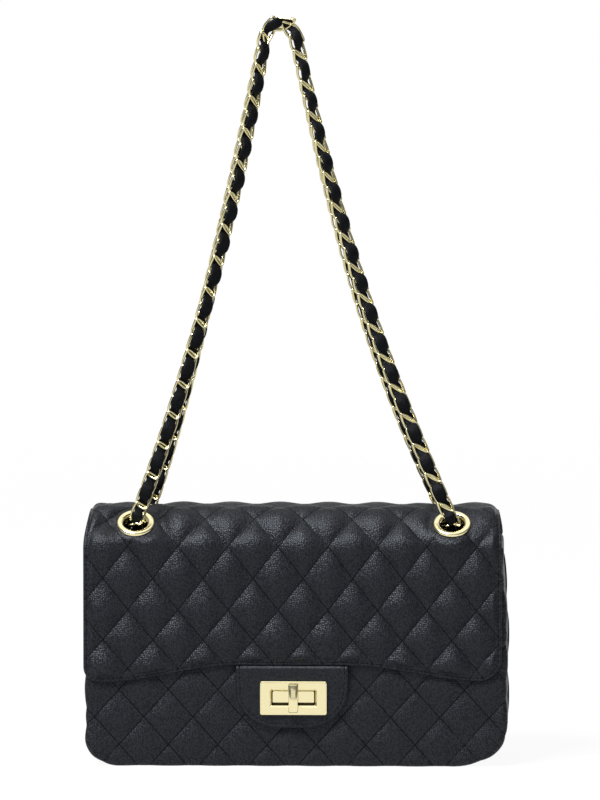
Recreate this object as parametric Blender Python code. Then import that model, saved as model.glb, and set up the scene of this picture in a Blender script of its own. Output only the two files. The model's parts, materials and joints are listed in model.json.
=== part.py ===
"""Quilted crossbody bag: a soft boxy body, a long flap with a turn lock, and a doubled chain and leather strap.

Metres, +Z up, front towards -Y. The origin is the middle of the base's underside, where the bag stands.
The flap folds on a line along the top of the back panel. Each strap loop swings where it enters its eyelets.
"""

import math

import bmesh
import bpy
import numpy as np
from mathutils import Matrix, Vector

# Body
BODY_WIDTH = 0.250
BODY_DEPTH = 0.0648
BODY_HEIGHT = 0.1307
PANEL_THICKNESS = 0.0038
PANEL_EDGE_RADIUS = 0.0011
CORNER_RADIUS = 0.018
GUSSET_THICKNESS = 0.0032
GUSSET_BULGE = 0.0022
GUSSET_RISE = 0.012
GUSSET_TOP_WIDTH = 0.026
BASE_THICKNESS = 0.0036
BOARD_THICKNESS = 0.0016
BOARD_MARGIN = 0.002
LINING_THICKNESS = 0.0008
FACING_HEIGHT = 0.018
FACING_THICKNESS = 0.0008
INNER_POCKET_WIDTH = 0.110
INNER_POCKET_HEIGHT = 0.065
INNER_POCKET_THICKNESS = 0.0009
INNER_POCKET_RADIUS = 0.010
SLIP_POCKET_WIDTH = 0.196
SLIP_POCKET_HEIGHT = 0.092
SLIP_POCKET_DIP = 0.016
SLIP_POCKET_THICKNESS = 0.0020
SLIP_POCKET_FOOT = 0.010

# Flap
FLAP_OVERHANG = 0.0013
FLAP_RISE = 0.0243
FLAP_LEATHER = 0.0026
FLAP_LINING = 0.0008
FLAP_EDGE_MIDDLE = 0.061
FLAP_EDGE_CORNER = 0.051
FLAP_LEVEL_WIDTH = 0.070
FLAP_CORNER_RADIUS = 0.012
FLAP_LINING_MARGIN = 0.002
SHOULDER_BEND_RADIUS = 0.008
EYELET_SEAT = 0.021
SHOULDER_ANGLE = math.radians(45)

# Tongue and turn lock
TONGUE_WIDTH = 0.0672
TONGUE_FOOT = 0.024
TONGUE_THICKNESS = 0.003
TONGUE_TAIL = 0.018
TONGUE_CORNER_WIDTH = 0.028
TONGUE_CORNER_HEIGHT = 0.017
LOCK_HEIGHT = 0.042
FRAME_WIDTH = 0.040
FRAME_HEIGHT = 0.0205
FRAME_THICKNESS = 0.0022
FRAME_BEVEL = 0.0009
SLOT_WIDTH = 0.027
SLOT_HEIGHT = 0.0095
SLOT_MARGIN = 0.0004
BACKPLATE_THICKNESS = 0.0006
BACKPLATE_MARGIN = 0.0025
POST_RADIUS = 0.0009
POST_SPACING = 0.0326
BLOCK_PROUD = 0.0005
FLANGE_WIDTH = 0.036
FLANGE_HEIGHT = 0.0165
FLANGE_THICKNESS = 0.0008
BAR_WIDTH = 0.0068
BAR_LENGTH = 0.018
BAR_THICKNESS = 0.0046
BAR_BEVEL = 0.0012
STEM_RADIUS = 0.0019
RETAINER_RADIUS = 0.0034
RETAINER_THICKNESS = 0.0008
COUNTERBORE_DEPTH = 0.0021

# Eyelets
EYELET_BORE = 0.0074
EYELET_WALL = 0.0008
EYELET_RADIUS = 0.01125
EYELET_HEIGHT = 0.0023
EYELET_BEAD_SHARES = ((0.0, 0.3), (0.2, 0.82), (0.5, 1.0), (0.8, 0.8), (1.0, 0.25))
WASHER_RADIUS = 0.0102
WASHER_THICKNESS = 0.0008
FRONT_EYELET_INSET = 0.0318
REAR_EYELET_INSET = 0.0373
PIVOT_CLEARANCE = 0.0008

# Strap
STRAP_RISE = 0.298
STRAP_PEAK_OFFSET = -0.0085
STRAP_PEAK_RADIUS = 0.0098
STRAP_PEAK_GAP = 0.0084
LEFT_FOOT_SLOPE = 0.38
LEFT_PEAK_SLOPE = 0.16
RIGHT_FOOT_SLOPE = 0.45
RIGHT_PEAK_SLOPE = 0.22
LEG_PULL_SHARE = 0.33
PEAK_LINKS = 4
INNER_SLACK_SHARE = 1.02
LINK_PITCH = 0.0095
LINK_WIDTH = 0.0097
WIRE_RADIUS = 0.001
WIRE_SIDES = 3
LINK_WELD = 0.00012
LINK_PLAY = 0.0006
LINK_SIDE_SHARE = 0.84
LINK_TIP_SHARE = 0.6
LINK_TWIST = math.radians(27)
RIBBON_WIDTH = 0.0054
RIBBON_THICKNESS = 0.0012
RIBBON_LIFT = 0.0028
RIBBON_FLAT = 0.0019
RIBBON_END = 0.0034
INNER_START = 0.00265

# Clearances
GAP = 0.0003
OVERRUN = 0.002
HINGE_GAP = 0.0003

# Places that follow from the sizes above
FRONT_FACE = -BODY_DEPTH / 2
BACK_FACE = BODY_DEPTH / 2
FLAP_WIDTH = BODY_WIDTH + 2 * FLAP_OVERHANG
FLAP_TOP = BODY_HEIGHT + FLAP_RISE
FRONT_EYELET_SPACING = FLAP_WIDTH - 2 * FRONT_EYELET_INSET
REAR_EYELET_SPACING = FLAP_WIDTH - 2 * REAR_EYELET_INSET
FLAP_STACK = FLAP_LEATHER + GAP + FLAP_LINING
FLAP_INNER_FACE = FRONT_FACE - GAP
FLAP_FRONT = FLAP_INNER_FACE - FLAP_STACK
HINGE_HEIGHT = BODY_HEIGHT + HINGE_GAP
TONGUE_FRONT = FLAP_INNER_FACE - TONGUE_THICKNESS
FRAME_BACK = TONGUE_FRONT - GAP
FRAME_FRONT = FRAME_BACK - FRAME_THICKNESS
BLOCK_FRONT = FRAME_FRONT - BLOCK_PROUD
BAR_BACK = BLOCK_FRONT - GAP
BACKPLATE_FRONT = FLAP_INNER_FACE - BACKPLATE_THICKNESS
PANEL_INNER_FACE = FRONT_FACE + PANEL_THICKNESS
LINING_DEPTH = BODY_DEPTH - 2 * (PANEL_THICKNESS + GAP + BACKPLATE_THICKNESS + 2 * GAP)
LINING_WIDTH = BODY_WIDTH - 2 * (GUSSET_THICKNESS + 2 * GAP)
LINING_FOOT = BASE_THICKNESS + BOARD_THICKNESS + 2 * GAP
WIRE_INNER = WIRE_RADIUS * math.cos(math.pi / WIRE_SIDES)

LEATHER = ("quilted_leather", (0.030, 0.031, 0.036), 0.5, 0.0)
SMOOTH_LEATHER = ("smooth_leather", (0.026, 0.027, 0.031), 0.45, 0.0)
LINING_LEATHER = ("lining_leather", (0.020, 0.020, 0.022), 0.6, 0.0)
PALE_GOLD = ("pale_gold", (0.83, 0.72, 0.42), 0.22, 1.0)
BOARD = ("board", (0.30, 0.27, 0.22), 0.8, 0.0)


def clear_scene():
    for found in list(bpy.data.objects):
        bpy.data.objects.remove(found, do_unlink=True)


def material(look, piece):
    """Each piece has its own material, made from a shared look."""
    name, colour, roughness, metallic = look
    made = bpy.data.materials.new(piece + "_" + name)
    made.use_nodes = True
    shader = made.node_tree.nodes["Principled BSDF"]
    shader.inputs["Base Color"].default_value = (*colour, 1.0)
    shader.inputs["Roughness"].default_value = roughness
    shader.inputs["Metallic"].default_value = metallic
    made.diffuse_color = (*colour, 1.0)
    return made


def pivot(name, place, turn=0.0):
    """An empty on a joint's axis, turned about X, that carries the pieces of one moving body."""
    empty = bpy.data.objects.new(name, None)
    empty.matrix_world = Matrix.Translation(place) @ Matrix.Rotation(turn, 4, "X")
    bpy.context.collection.objects.link(empty)
    return empty


def add_piece(name, mesh, look, carrier=None):
    """Link a mesh built in world space, carried by an empty where the piece moves."""
    piece = bpy.data.objects.new(name, mesh)
    piece.data.materials.clear()
    piece.data.materials.append(material(look, name))
    bpy.context.collection.objects.link(piece)
    if carrier is not None:
        world = carrier.matrix_world.copy()
        piece.data.transform(world.inverted())
        piece.parent = carrier
    piece.data.shade_smooth()
    piece.data.set_sharp_from_angle(angle=math.radians(35))
    return piece


def mesh_of(points, faces, name="shape"):
    mesh = bpy.data.meshes.new(name)
    mesh.from_pydata([tuple(point) for point in points], [], faces)
    shape = bmesh.new()
    shape.from_mesh(mesh)
    bmesh.ops.recalc_face_normals(shape, faces=shape.faces)
    shape.to_mesh(mesh)
    shape.free()
    return mesh


def combined(first, second, operation):
    """The exact union or difference of two closed meshes."""
    kept = bpy.data.objects.new("kept", first)
    other = bpy.data.objects.new("other", second)
    bpy.context.collection.objects.link(kept)
    bpy.context.collection.objects.link(other)
    boolean = kept.modifiers.new("combine", "BOOLEAN")
    boolean.operation = operation
    boolean.solver = "EXACT"
    boolean.object = other
    bpy.context.view_layer.update()
    graph = bpy.context.evaluated_depsgraph_get()
    result = bpy.data.meshes.new_from_object(kept.evaluated_get(graph), depsgraph=graph)
    bpy.data.objects.remove(kept, do_unlink=True)
    bpy.data.objects.remove(other, do_unlink=True)
    return result


def cut(mesh, *cutters):
    for cutter in cutters:
        mesh = combined(mesh, cutter, "DIFFERENCE")
    return mesh


def joined(mesh, *others):
    for other in others:
        mesh = combined(mesh, other, "UNION")
    return mesh


def bevelled(mesh, width, segments=2, sharper_than=math.radians(50)):
    """Round a closed mesh's sharp edges."""
    shape = bmesh.new()
    shape.from_mesh(mesh)
    edges = [edge for edge in shape.edges if edge.calc_face_angle(0.0) > sharper_than]
    bmesh.ops.bevel(
        shape, geom=edges, offset=width, segments=segments, profile=0.5, affect="EDGES", clamp_overlap=True
    )
    shape.to_mesh(mesh)
    shape.free()
    return mesh


def box(low, high):
    """A closed box between two corners."""
    size = Vector(high) - Vector(low)
    middle = (Vector(high) + Vector(low)) / 2
    shape = bmesh.new()
    bmesh.ops.create_cube(shape, size=1.0, matrix=Matrix.Translation(middle) @ Matrix.Diagonal((*size, 1.0)))
    mesh = bpy.data.meshes.new("box")
    shape.to_mesh(mesh)
    shape.free()
    return mesh


def cylinder(start, along, radius, length, segments=16):
    """A closed round bar from start, running along a direction."""
    direction = Vector(along).normalized()
    turn = direction.to_track_quat("Z", "Y").to_matrix().to_4x4()
    shape = bmesh.new()
    bmesh.ops.create_cone(
        shape,
        cap_ends=True,
        segments=segments,
        radius1=radius,
        radius2=radius,
        depth=length,
        matrix=Matrix.Translation(Vector(start) + direction * (length / 2)) @ turn,
    )
    mesh = bpy.data.meshes.new("cylinder")
    shape.to_mesh(mesh)
    shape.free()
    return mesh


def slab(outline, near, far):
    """A flat outline in X and Z, given thickness from y = near to y = far."""
    count = len(outline)
    points = [(x, near, z) for x, z in outline] + [(x, far, z) for x, z in outline]
    faces = [tuple(range(count)), tuple(range(2 * count - 1, count - 1, -1))]
    for index in range(count):
        after = (index + 1) % count
        faces.append((index, index + count, after + count, after))
    return mesh_of(points, faces)


def loft(rings):
    """A closed solid through rings of equal count, capped at both ends."""
    count = len(rings[0])
    points = [point for ring in rings for point in ring]
    faces = [tuple(range(count)), tuple(range(len(points) - 1, len(points) - count - 1, -1))]
    for row in range(len(rings) - 1):
        for index in range(count):
            after = (index + 1) % count
            first = row * count
            second = first + count
            faces.append((first + index, second + index, second + after, first + after))
    return mesh_of(points, faces)


def turned(profile, place, segments=16):
    """A closed ring turned from (radius, height) points about the z axis of a placing matrix."""
    points = []
    for index in range(segments):
        angle = 2 * math.pi * index / segments
        for radius, height in profile:
            points.append(place @ Vector((radius * math.cos(angle), radius * math.sin(angle), height)))
    count = len(profile)
    faces = []
    for index in range(segments):
        after = (index + 1) % segments
        for step in range(count):
            following = (step + 1) % count
            faces.append(
                (
                    index * count + step,
                    after * count + step,
                    after * count + following,
                    index * count + following,
                )
            )
    return mesh_of(points, faces)


def arc(centre, radius, start, end, steps):
    """Points on an arc in the plane, angles in radians, both ends included."""
    across, up = radius if isinstance(radius, tuple) else (radius, radius)
    angles = [start + (end - start) * step / steps for step in range(steps + 1)]
    return [(centre[0] + across * math.cos(a), centre[1] + up * math.sin(a)) for a in angles]


def round_footed(half_width, foot, top, radius, steps=6):
    """An upright outline in X and Z whose two lower corners are round."""
    right = arc((half_width - radius, foot + radius), radius, 0.0, -math.pi / 2, steps)
    left = arc((-half_width + radius, foot + radius), radius, -math.pi / 2, -math.pi, steps)
    return [(half_width, top)] + right + left + [(-half_width, top)]


def rectangle(width, height, middle):
    """A centred rectangle in X and Z at a height."""
    across = width / 2
    up = height / 2
    return [(across, middle + up), (across, middle - up), (-across, middle - up), (-across, middle + up)]


def post_places():
    return [-POST_SPACING / 2, POST_SPACING / 2]


def front_panel():
    """Padded quilted panel of the body's front, with the seat of the lock's base let into it."""
    outline = round_footed(BODY_WIDTH / 2, GAP, BODY_HEIGHT, CORNER_RADIUS)
    panel = bevelled(slab(outline, FRONT_FACE, PANEL_INNER_FACE), PANEL_EDGE_RADIUS)
    seat = slab(
        rectangle(FLANGE_WIDTH + 2 * GAP, FLANGE_HEIGHT + 2 * GAP, LOCK_HEIGHT),
        FRONT_FACE - OVERRUN,
        FRONT_FACE + FLANGE_THICKNESS + GAP,
    )
    holes = [
        cylinder((x, FRONT_FACE, LOCK_HEIGHT), (0, 1, 0), POST_RADIUS + GAP, PANEL_THICKNESS + OVERRUN, 10)
        for x in post_places()
    ]
    add_piece("front_panel", cut(panel, seat, *holes), LEATHER)


def back_panel():
    outline = round_footed(BODY_WIDTH / 2, GAP, BODY_HEIGHT, CORNER_RADIUS)
    panel = slab(outline, BACK_FACE - PANEL_THICKNESS, BACK_FACE)
    add_piece("back_panel", bevelled(panel, PANEL_EDGE_RADIUS / 2, 1), LEATHER)


def back_slip_pocket():
    """Open-topped pocket lying flat on the back, its mouth dipped in a shallow curve."""
    half = SLIP_POCKET_WIDTH / 2
    foot = SLIP_POCKET_FOOT
    top = foot + SLIP_POCKET_HEIGHT
    outline = round_footed(half, foot, top, CORNER_RADIUS)
    mouth = []
    for step in range(1, 12):
        share = step / 12
        dip = SLIP_POCKET_DIP * math.sin(math.pi * share) ** 0.75
        mouth.append((half * (2 * share - 1), top - dip))
    near = BACK_FACE + GAP
    pocket = slab(outline + mouth, near, near + SLIP_POCKET_THICKNESS)
    add_piece("back_slip_pocket", bevelled(pocket, SLIP_POCKET_THICKNESS / 4, 1), LEATHER)


def gusset(name, side):
    """Side wall: a strip that stands between the panels, bellies outwards and bends under to meet the base."""
    half_depth = BODY_DEPTH / 2 - PANEL_THICKNESS - GAP
    outer = BODY_WIDTH / 2
    centre = (outer - CORNER_RADIUS, CORNER_RADIUS)
    stations = [
        ((outer, BODY_HEIGHT + GUSSET_RISE), (1.0, 0.0), GUSSET_TOP_WIDTH / 2, 0.0),
        ((outer, BODY_HEIGHT), (1.0, 0.0), half_depth, GUSSET_BULGE / 2),
        ((outer, BODY_HEIGHT / 2), (1.0, 0.0), half_depth, GUSSET_BULGE),
    ]
    for step in range(6):
        angle = -math.pi / 2 * step / 5
        place = arc(centre, CORNER_RADIUS, angle, angle, 1)[0]
        fullness = GUSSET_BULGE * (1 - step / 5)
        stations.append((place, (math.cos(angle), math.sin(angle)), half_depth, fullness))
    rings = []
    for (x, z), (out_x, out_z), half, bulge in stations:
        ring = [
            (-half, -GUSSET_THICKNESS),
            (-half, 0.0),
            (0.0, bulge),
            (half, 0.0),
            (half, -GUSSET_THICKNESS),
        ]
        rings.append([(side * (x + out_x * out), y, z + out_z * out) for y, out in ring])
    add_piece(name, loft(rings), LEATHER)


def base_panel():
    """Flat underside that the bag stands on."""
    half_width = BODY_WIDTH / 2 - CORNER_RADIUS - GAP
    half_depth = BODY_DEPTH / 2 - PANEL_THICKNESS - GAP
    panel = box((-half_width, -half_depth, 0.0), (half_width, half_depth, BASE_THICKNESS))
    add_piece("base_panel", panel, LEATHER)


def base_board():
    """Stiff board between the base and the lining."""
    half_width = BODY_WIDTH / 2 - CORNER_RADIUS - BOARD_MARGIN
    half_depth = LINING_DEPTH / 2 - GAP
    foot = BASE_THICKNESS + GAP
    board = box((-half_width, -half_depth, foot), (half_width, half_depth, foot + BOARD_THICKNESS))
    add_piece("base_board", board, BOARD)


def lining():
    """Thin leather bag inside the body, open at the top."""
    half_width = LINING_WIDTH / 2
    radius = CORNER_RADIUS - GUSSET_THICKNESS
    outer = round_footed(half_width, LINING_FOOT, BODY_HEIGHT - GAP, radius, 4)
    inner = round_footed(
        half_width - LINING_THICKNESS,
        LINING_FOOT + LINING_THICKNESS,
        BODY_HEIGHT + OVERRUN,
        radius - LINING_THICKNESS,
        4,
    )
    wall = LINING_DEPTH / 2
    hollow = slab(inner, -wall + LINING_THICKNESS, wall - LINING_THICKNESS)
    add_piece("lining", cut(slab(outer, -wall, wall), hollow), LINING_LEATHER)


def mouth_facing():
    """Leather band round the inside of the mouth, over the lining's top edge."""
    half_width = LINING_WIDTH / 2 - LINING_THICKNESS - GAP
    half_depth = LINING_DEPTH / 2 - LINING_THICKNESS - GAP
    top = BODY_HEIGHT - GAP
    foot = top - FACING_HEIGHT
    band = box((-half_width, -half_depth, foot), (half_width, half_depth, top))
    hollow = box(
        (-half_width + FACING_THICKNESS, -half_depth + FACING_THICKNESS, foot - OVERRUN),
        (half_width - FACING_THICKNESS, half_depth - FACING_THICKNESS, top + OVERRUN),
    )
    add_piece("mouth_facing", cut(band, hollow), SMOOTH_LEATHER)


def inner_pocket():
    """Flat slip pocket on the lining's back wall."""
    wall = LINING_DEPTH / 2 - LINING_THICKNESS - GAP
    top = BODY_HEIGHT - FACING_HEIGHT - 2 * FACING_THICKNESS
    outline = round_footed(INNER_POCKET_WIDTH / 2, top - INNER_POCKET_HEIGHT, top, INNER_POCKET_RADIUS, 4)
    add_piece("inner_pocket", slab(outline, wall - INNER_POCKET_THICKNESS, wall), LINING_LEATHER)


def shoulder_extent():
    """How far the shoulder's two bends and the flat eyelet seat between them reach, up and inwards."""
    bends = SHOULDER_BEND_RADIUS
    seat = EYELET_SEAT * math.cos(SHOULDER_ANGLE)
    return bends * math.sin(SHOULDER_ANGLE) + seat + bends * (1 - math.cos(SHOULDER_ANGLE))


def flap_profile(depth, bend_steps=2):
    """The flap's section in Y and Z, from its fold at the back over the top to the front, at a depth under its skin."""
    extent = shoulder_extent()
    place = Vector((BACK_FACE, HINGE_HEIGHT + HINGE_GAP))
    heading = math.pi / 2
    points = []

    def note():
        outward = Vector((math.sin(heading), -math.cos(heading)))
        points.append(place - outward * depth)

    def go(length):
        nonlocal place
        place = place + Vector((math.cos(heading), math.sin(heading))) * length
        note()

    def bend():
        nonlocal place, heading
        centre = place + Vector((-math.sin(heading), math.cos(heading))) * SHOULDER_BEND_RADIUS
        first = heading
        for step in range(1, bend_steps + 1):
            heading = first + SHOULDER_ANGLE * step / bend_steps
            place = centre + Vector((math.sin(heading), -math.cos(heading))) * SHOULDER_BEND_RADIUS
            note()

    note()
    go(FLAP_TOP - extent - HINGE_HEIGHT - HINGE_GAP)
    bend()
    go(EYELET_SEAT)
    bend()
    go(BACK_FACE - FLAP_FRONT - 2 * extent)
    bend()
    go(EYELET_SEAT)
    bend()
    return points


def eyelet_frame(front, x):
    """Place of an eyelet: the middle of its flat seat, z pointing out of the leather."""
    extent = shoulder_extent()
    inwards = SHOULDER_BEND_RADIUS * (1 - math.cos(SHOULDER_ANGLE)) + EYELET_SEAT / 2 * math.sin(SHOULDER_ANGLE)
    up = SHOULDER_BEND_RADIUS * math.sin(SHOULDER_ANGLE) + EYELET_SEAT / 2 * math.cos(SHOULDER_ANGLE)
    height = FLAP_TOP - extent + up
    if front:
        place = Vector((x, FLAP_FRONT + inwards, height))
        turn = SHOULDER_ANGLE
    else:
        place = Vector((x, BACK_FACE - inwards, height))
        turn = -SHOULDER_ANGLE
    return Matrix.Translation(place) @ Matrix.Rotation(turn, 4, "X")


def eyelet_places():
    """The four eyelets: name, whether in front, and x."""
    return [
        ("front_left", True, -FRONT_EYELET_SPACING / 2),
        ("front_right", True, FRONT_EYELET_SPACING / 2),
        ("rear_left", False, -REAR_EYELET_SPACING / 2),
        ("rear_right", False, REAR_EYELET_SPACING / 2),
    ]


def eyelet_hole(front, x, radius):
    """A cutter along one eyelet's axis, long enough to pass the whole flap."""
    frame = eyelet_frame(front, x)
    reach = FLAP_STACK + OVERRUN
    start = frame @ Vector((0.0, 0.0, -reach))
    along = frame.to_3x3() @ Vector((0.0, 0.0, 1.0))
    return cylinder(start, along, radius, reach + OVERRUN, 20)


def flap_edge(x, margin):
    """Height of the flap's lower edge: level behind the tongue, lower at the rounded corners."""
    half = FLAP_WIDTH / 2 - margin
    radius = FLAP_CORNER_RADIUS
    distance = abs(x)
    span = FLAP_WIDTH / 2 - FLAP_CORNER_RADIUS - FLAP_LEVEL_WIDTH / 2
    share = min(max((distance - FLAP_LEVEL_WIDTH / 2) / span, 0.0), 1.0)
    eased = share * share * (3 - 2 * share)
    height = FLAP_EDGE_MIDDLE + (FLAP_EDGE_CORNER - FLAP_EDGE_MIDDLE) * eased + margin
    past = min(max(distance - (half - radius), 0.0), radius)
    return height + radius - math.sqrt(max(radius * radius - past * past, 0.0))


def flap_columns(margin, middle_steps, corner_steps):
    """Places across the flap, closer together round the corners."""
    half = FLAP_WIDTH / 2 - margin
    level = half - FLAP_CORNER_RADIUS
    right = [level * step / middle_steps for step in range(middle_steps)]
    for step in range(corner_steps + 1):
        right.append(level + FLAP_CORNER_RADIUS * math.sin(math.pi / 2 * step / corner_steps))
    return [-x for x in reversed(right[1:])] + right


def flap_sheet(near, far, margin, middle_steps, corner_steps):
    """One layer of the flap between two depths under its skin: the section drawn out in X, and a shaped front."""
    half = FLAP_WIDTH / 2 - margin
    edge = [(x, flap_edge(x, margin)) for x in flap_columns(margin, middle_steps, corner_steps)]
    layers = []
    for depth in (near, far):
        section = flap_profile(depth)
        left = [(-half, y, z) for y, z in section]
        right = [(half, y, z) for y, z in section]
        layers.append(left + right + [(x, section[-1][0], z) for x, z in edge])
    rows = len(section)
    count = len(layers[0])
    boundary = list(range(rows)) + list(range(2 * rows, count)) + list(range(2 * rows - 1, rows - 1, -1))
    faces = []
    for layer in (0, 1):
        base = layer * count
        for row in range(rows - 1):
            faces.append((base + row, base + row + 1, base + rows + row + 1, base + rows + row))
        front = [rows - 1] + list(range(2 * rows, count)) + [2 * rows - 1]
        faces.append(tuple(base + index for index in front))
    for index, here in enumerate(boundary):
        after = boundary[(index + 1) % len(boundary)]
        faces.append((here, after, after + count, here + count))
    return mesh_of(layers[0] + layers[1], faces)


def flap_outer(carrier):
    """Quilted leather of the flap, one sheet from the fold at the back to the front edge."""
    sheet = flap_sheet(0.0, FLAP_LEATHER, 0.0, 8, 4)
    hole = EYELET_BORE + EYELET_WALL + GAP
    holes = [eyelet_hole(front, x, hole) for name, front, x in eyelet_places()]
    add_piece("flap_outer", cut(sheet, *holes), LEATHER, carrier)


def flap_lining(carrier):
    """Thin leather inside the flap, notched where the tongue's tail takes its place."""
    sheet = flap_sheet(FLAP_LEATHER + GAP, FLAP_STACK, FLAP_LINING_MARGIN, 6, 2)
    hole = EYELET_BORE + EYELET_WALL + GAP
    holes = [eyelet_hole(front, x, hole) for name, front, x in eyelet_places()]
    half = TONGUE_WIDTH / 2 + GAP
    notch = box(
        (-half, FLAP_INNER_FACE - FLAP_LINING - GAP / 2, TONGUE_FOOT),
        (half, FLAP_INNER_FACE + OVERRUN, FLAP_EDGE_MIDDLE + TONGUE_TAIL + GAP),
    )
    add_piece("flap_lining", cut(sheet, *holes, notch), LINING_LEATHER, carrier)


def tongue(carrier):
    """Plain leather tab that carries the lock's frame. Its pared tail is sewn inside the flap."""
    half = TONGUE_WIDTH / 2
    top = FLAP_EDGE_MIDDLE - GAP
    corner = (TONGUE_CORNER_WIDTH, TONGUE_CORNER_HEIGHT)
    right = arc((half - corner[0], TONGUE_FOOT + corner[1]), corner, 0.0, -math.pi / 2, 6)
    left = arc((-half + corner[0], TONGUE_FOOT + corner[1]), corner, -math.pi / 2, -math.pi, 6)
    outline = [(half, top)] + right + left + [(-half, top)]
    tab = bevelled(slab(outline, TONGUE_FRONT, FLAP_INNER_FACE), TONGUE_THICKNESS / 5, 1)
    tail = box(
        (-half, FLAP_INNER_FACE - FLAP_LINING, top - TONGUE_THICKNESS),
        (half, FLAP_INNER_FACE, FLAP_EDGE_MIDDLE + TONGUE_TAIL),
    )
    slot = slab(
        rectangle(SLOT_WIDTH, SLOT_HEIGHT, LOCK_HEIGHT), TONGUE_FRONT - OVERRUN, FLAP_INNER_FACE + OVERRUN
    )
    seat = slab(
        rectangle(*backplate_size(GAP), LOCK_HEIGHT), BACKPLATE_FRONT - GAP, FLAP_INNER_FACE + OVERRUN
    )
    holes = [
        cylinder((x, FRAME_BACK, LOCK_HEIGHT), (0, 1, 0), POST_RADIUS + GAP, TONGUE_THICKNESS, 10)
        for x in post_places()
    ]
    add_piece("closure_tongue", cut(joined(tab, tail), slot, seat, *holes), SMOOTH_LEATHER, carrier)


def backplate_size(allowance):
    """Width and height of the thin plates clenched behind the leather."""
    width = FRAME_WIDTH - BACKPLATE_MARGIN + 2 * allowance
    height = FRAME_HEIGHT - BACKPLATE_MARGIN + 2 * allowance
    return width, height


def lock_frame(carrier):
    """Bevelled metal frame with the lock's slot, on two posts through the tongue."""
    plate = bevelled(
        slab(rectangle(FRAME_WIDTH, FRAME_HEIGHT, LOCK_HEIGHT), FRAME_FRONT, FRAME_BACK), FRAME_BEVEL
    )
    slot = slab(
        rectangle(SLOT_WIDTH, SLOT_HEIGHT, LOCK_HEIGHT), FRAME_FRONT - OVERRUN, FRAME_BACK + OVERRUN
    )
    reach = FLAP_INNER_FACE - GAP - (FRAME_BACK - FRAME_THICKNESS / 2)
    posts = [
        cylinder((x, FRAME_BACK - FRAME_THICKNESS / 2, LOCK_HEIGHT), (0, 1, 0), POST_RADIUS, reach, 10)
        for x in post_places()
    ]
    add_piece("lock_frame", joined(cut(plate, slot), *posts), PALE_GOLD, carrier)


def lock_frame_backplate(carrier):
    """Plate behind the tongue that the frame's posts are clenched over."""
    plate = slab(rectangle(*backplate_size(0.0), LOCK_HEIGHT), BACKPLATE_FRONT, FLAP_INNER_FACE)
    slot = slab(
        rectangle(SLOT_WIDTH, SLOT_HEIGHT, LOCK_HEIGHT), BACKPLATE_FRONT - OVERRUN, FLAP_INNER_FACE + OVERRUN
    )
    holes = [
        cylinder(
            (x, BACKPLATE_FRONT - OVERRUN, LOCK_HEIGHT), (0, 1, 0), POST_RADIUS + GAP, 2 * OVERRUN + GAP, 10
        )
        for x in post_places()
    ]
    add_piece("lock_frame_backplate", cut(plate, slot, *holes), PALE_GOLD, carrier)


def lock_base():
    """Base of the lock on the body: a flange let into the panel, and the block that fills the frame's slot."""
    flange = slab(
        rectangle(FLANGE_WIDTH, FLANGE_HEIGHT, LOCK_HEIGHT), FRONT_FACE, FRONT_FACE + FLANGE_THICKNESS
    )
    width = SLOT_WIDTH - 2 * SLOT_MARGIN
    height = SLOT_HEIGHT - 2 * SLOT_MARGIN
    block = slab(rectangle(width, height, LOCK_HEIGHT), BLOCK_FRONT, FRONT_FACE + FLANGE_THICKNESS / 2)
    posts = [
        cylinder(
            (x, FRONT_FACE + FLANGE_THICKNESS / 2, LOCK_HEIGHT),
            (0, 1, 0),
            POST_RADIUS,
            PANEL_THICKNESS + GAP + BACKPLATE_THICKNESS - FLANGE_THICKNESS / 2,
            10,
        )
        for x in post_places()
    ]
    bore = cylinder(
        (0.0, BLOCK_FRONT - OVERRUN, LOCK_HEIGHT),
        (0, 1, 0),
        STEM_RADIUS + GAP,
        FRONT_FACE - BLOCK_FRONT + 2 * OVERRUN,
        16,
    )
    counterbore = cylinder(
        (0.0, FRONT_FACE + FLANGE_THICKNESS - COUNTERBORE_DEPTH, LOCK_HEIGHT),
        (0, 1, 0),
        RETAINER_RADIUS + GAP,
        COUNTERBORE_DEPTH + OVERRUN,
        16,
    )
    add_piece("lock_base", cut(joined(flange, block, *posts), bore, counterbore), PALE_GOLD)


def lock_base_backplate():
    """Plate behind the front panel that the base's posts are clenched over."""
    near = PANEL_INNER_FACE + GAP
    plate = slab(rectangle(FLANGE_WIDTH, FLANGE_HEIGHT, LOCK_HEIGHT), near, near + BACKPLATE_THICKNESS)
    holes = [
        cylinder((x, near - GAP, LOCK_HEIGHT), (0, 1, 0), POST_RADIUS + GAP, OVERRUN, 10) for x in post_places()
    ]
    add_piece("lock_base_backplate", cut(plate, *holes), PALE_GOLD)


def turn_bar(carrier):
    """The bar that turns on the lock's base, upright when locked, with its stem through the base."""
    front = BAR_BACK - BAR_THICKNESS
    bar = bevelled(slab(rectangle(BAR_WIDTH, BAR_LENGTH, LOCK_HEIGHT), front, BAR_BACK), BAR_BEVEL)
    start = (0.0, BAR_BACK - BAR_THICKNESS / 2, LOCK_HEIGHT)
    stem_end = FRONT_FACE + FLANGE_THICKNESS - GAP
    stem = cylinder(start, (0, 1, 0), STEM_RADIUS, stem_end - start[1], 16)
    add_piece("turn_bar", joined(bar, stem), PALE_GOLD, carrier)


def turn_bar_retainer(carrier):
    """Washer riveted on the stem's end inside the base, which keeps the bar on."""
    near = FRONT_FACE + FLANGE_THICKNESS - COUNTERBORE_DEPTH + GAP
    disc = cylinder((0.0, near, LOCK_HEIGHT), (0, 1, 0), RETAINER_RADIUS, RETAINER_THICKNESS, 16)
    hole = cylinder(
        (0.0, near - OVERRUN, LOCK_HEIGHT), (0, 1, 0), STEM_RADIUS + GAP, RETAINER_THICKNESS + 2 * OVERRUN, 16
    )
    add_piece("turn_bar_retainer", cut(disc, hole), PALE_GOLD, carrier)


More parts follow.
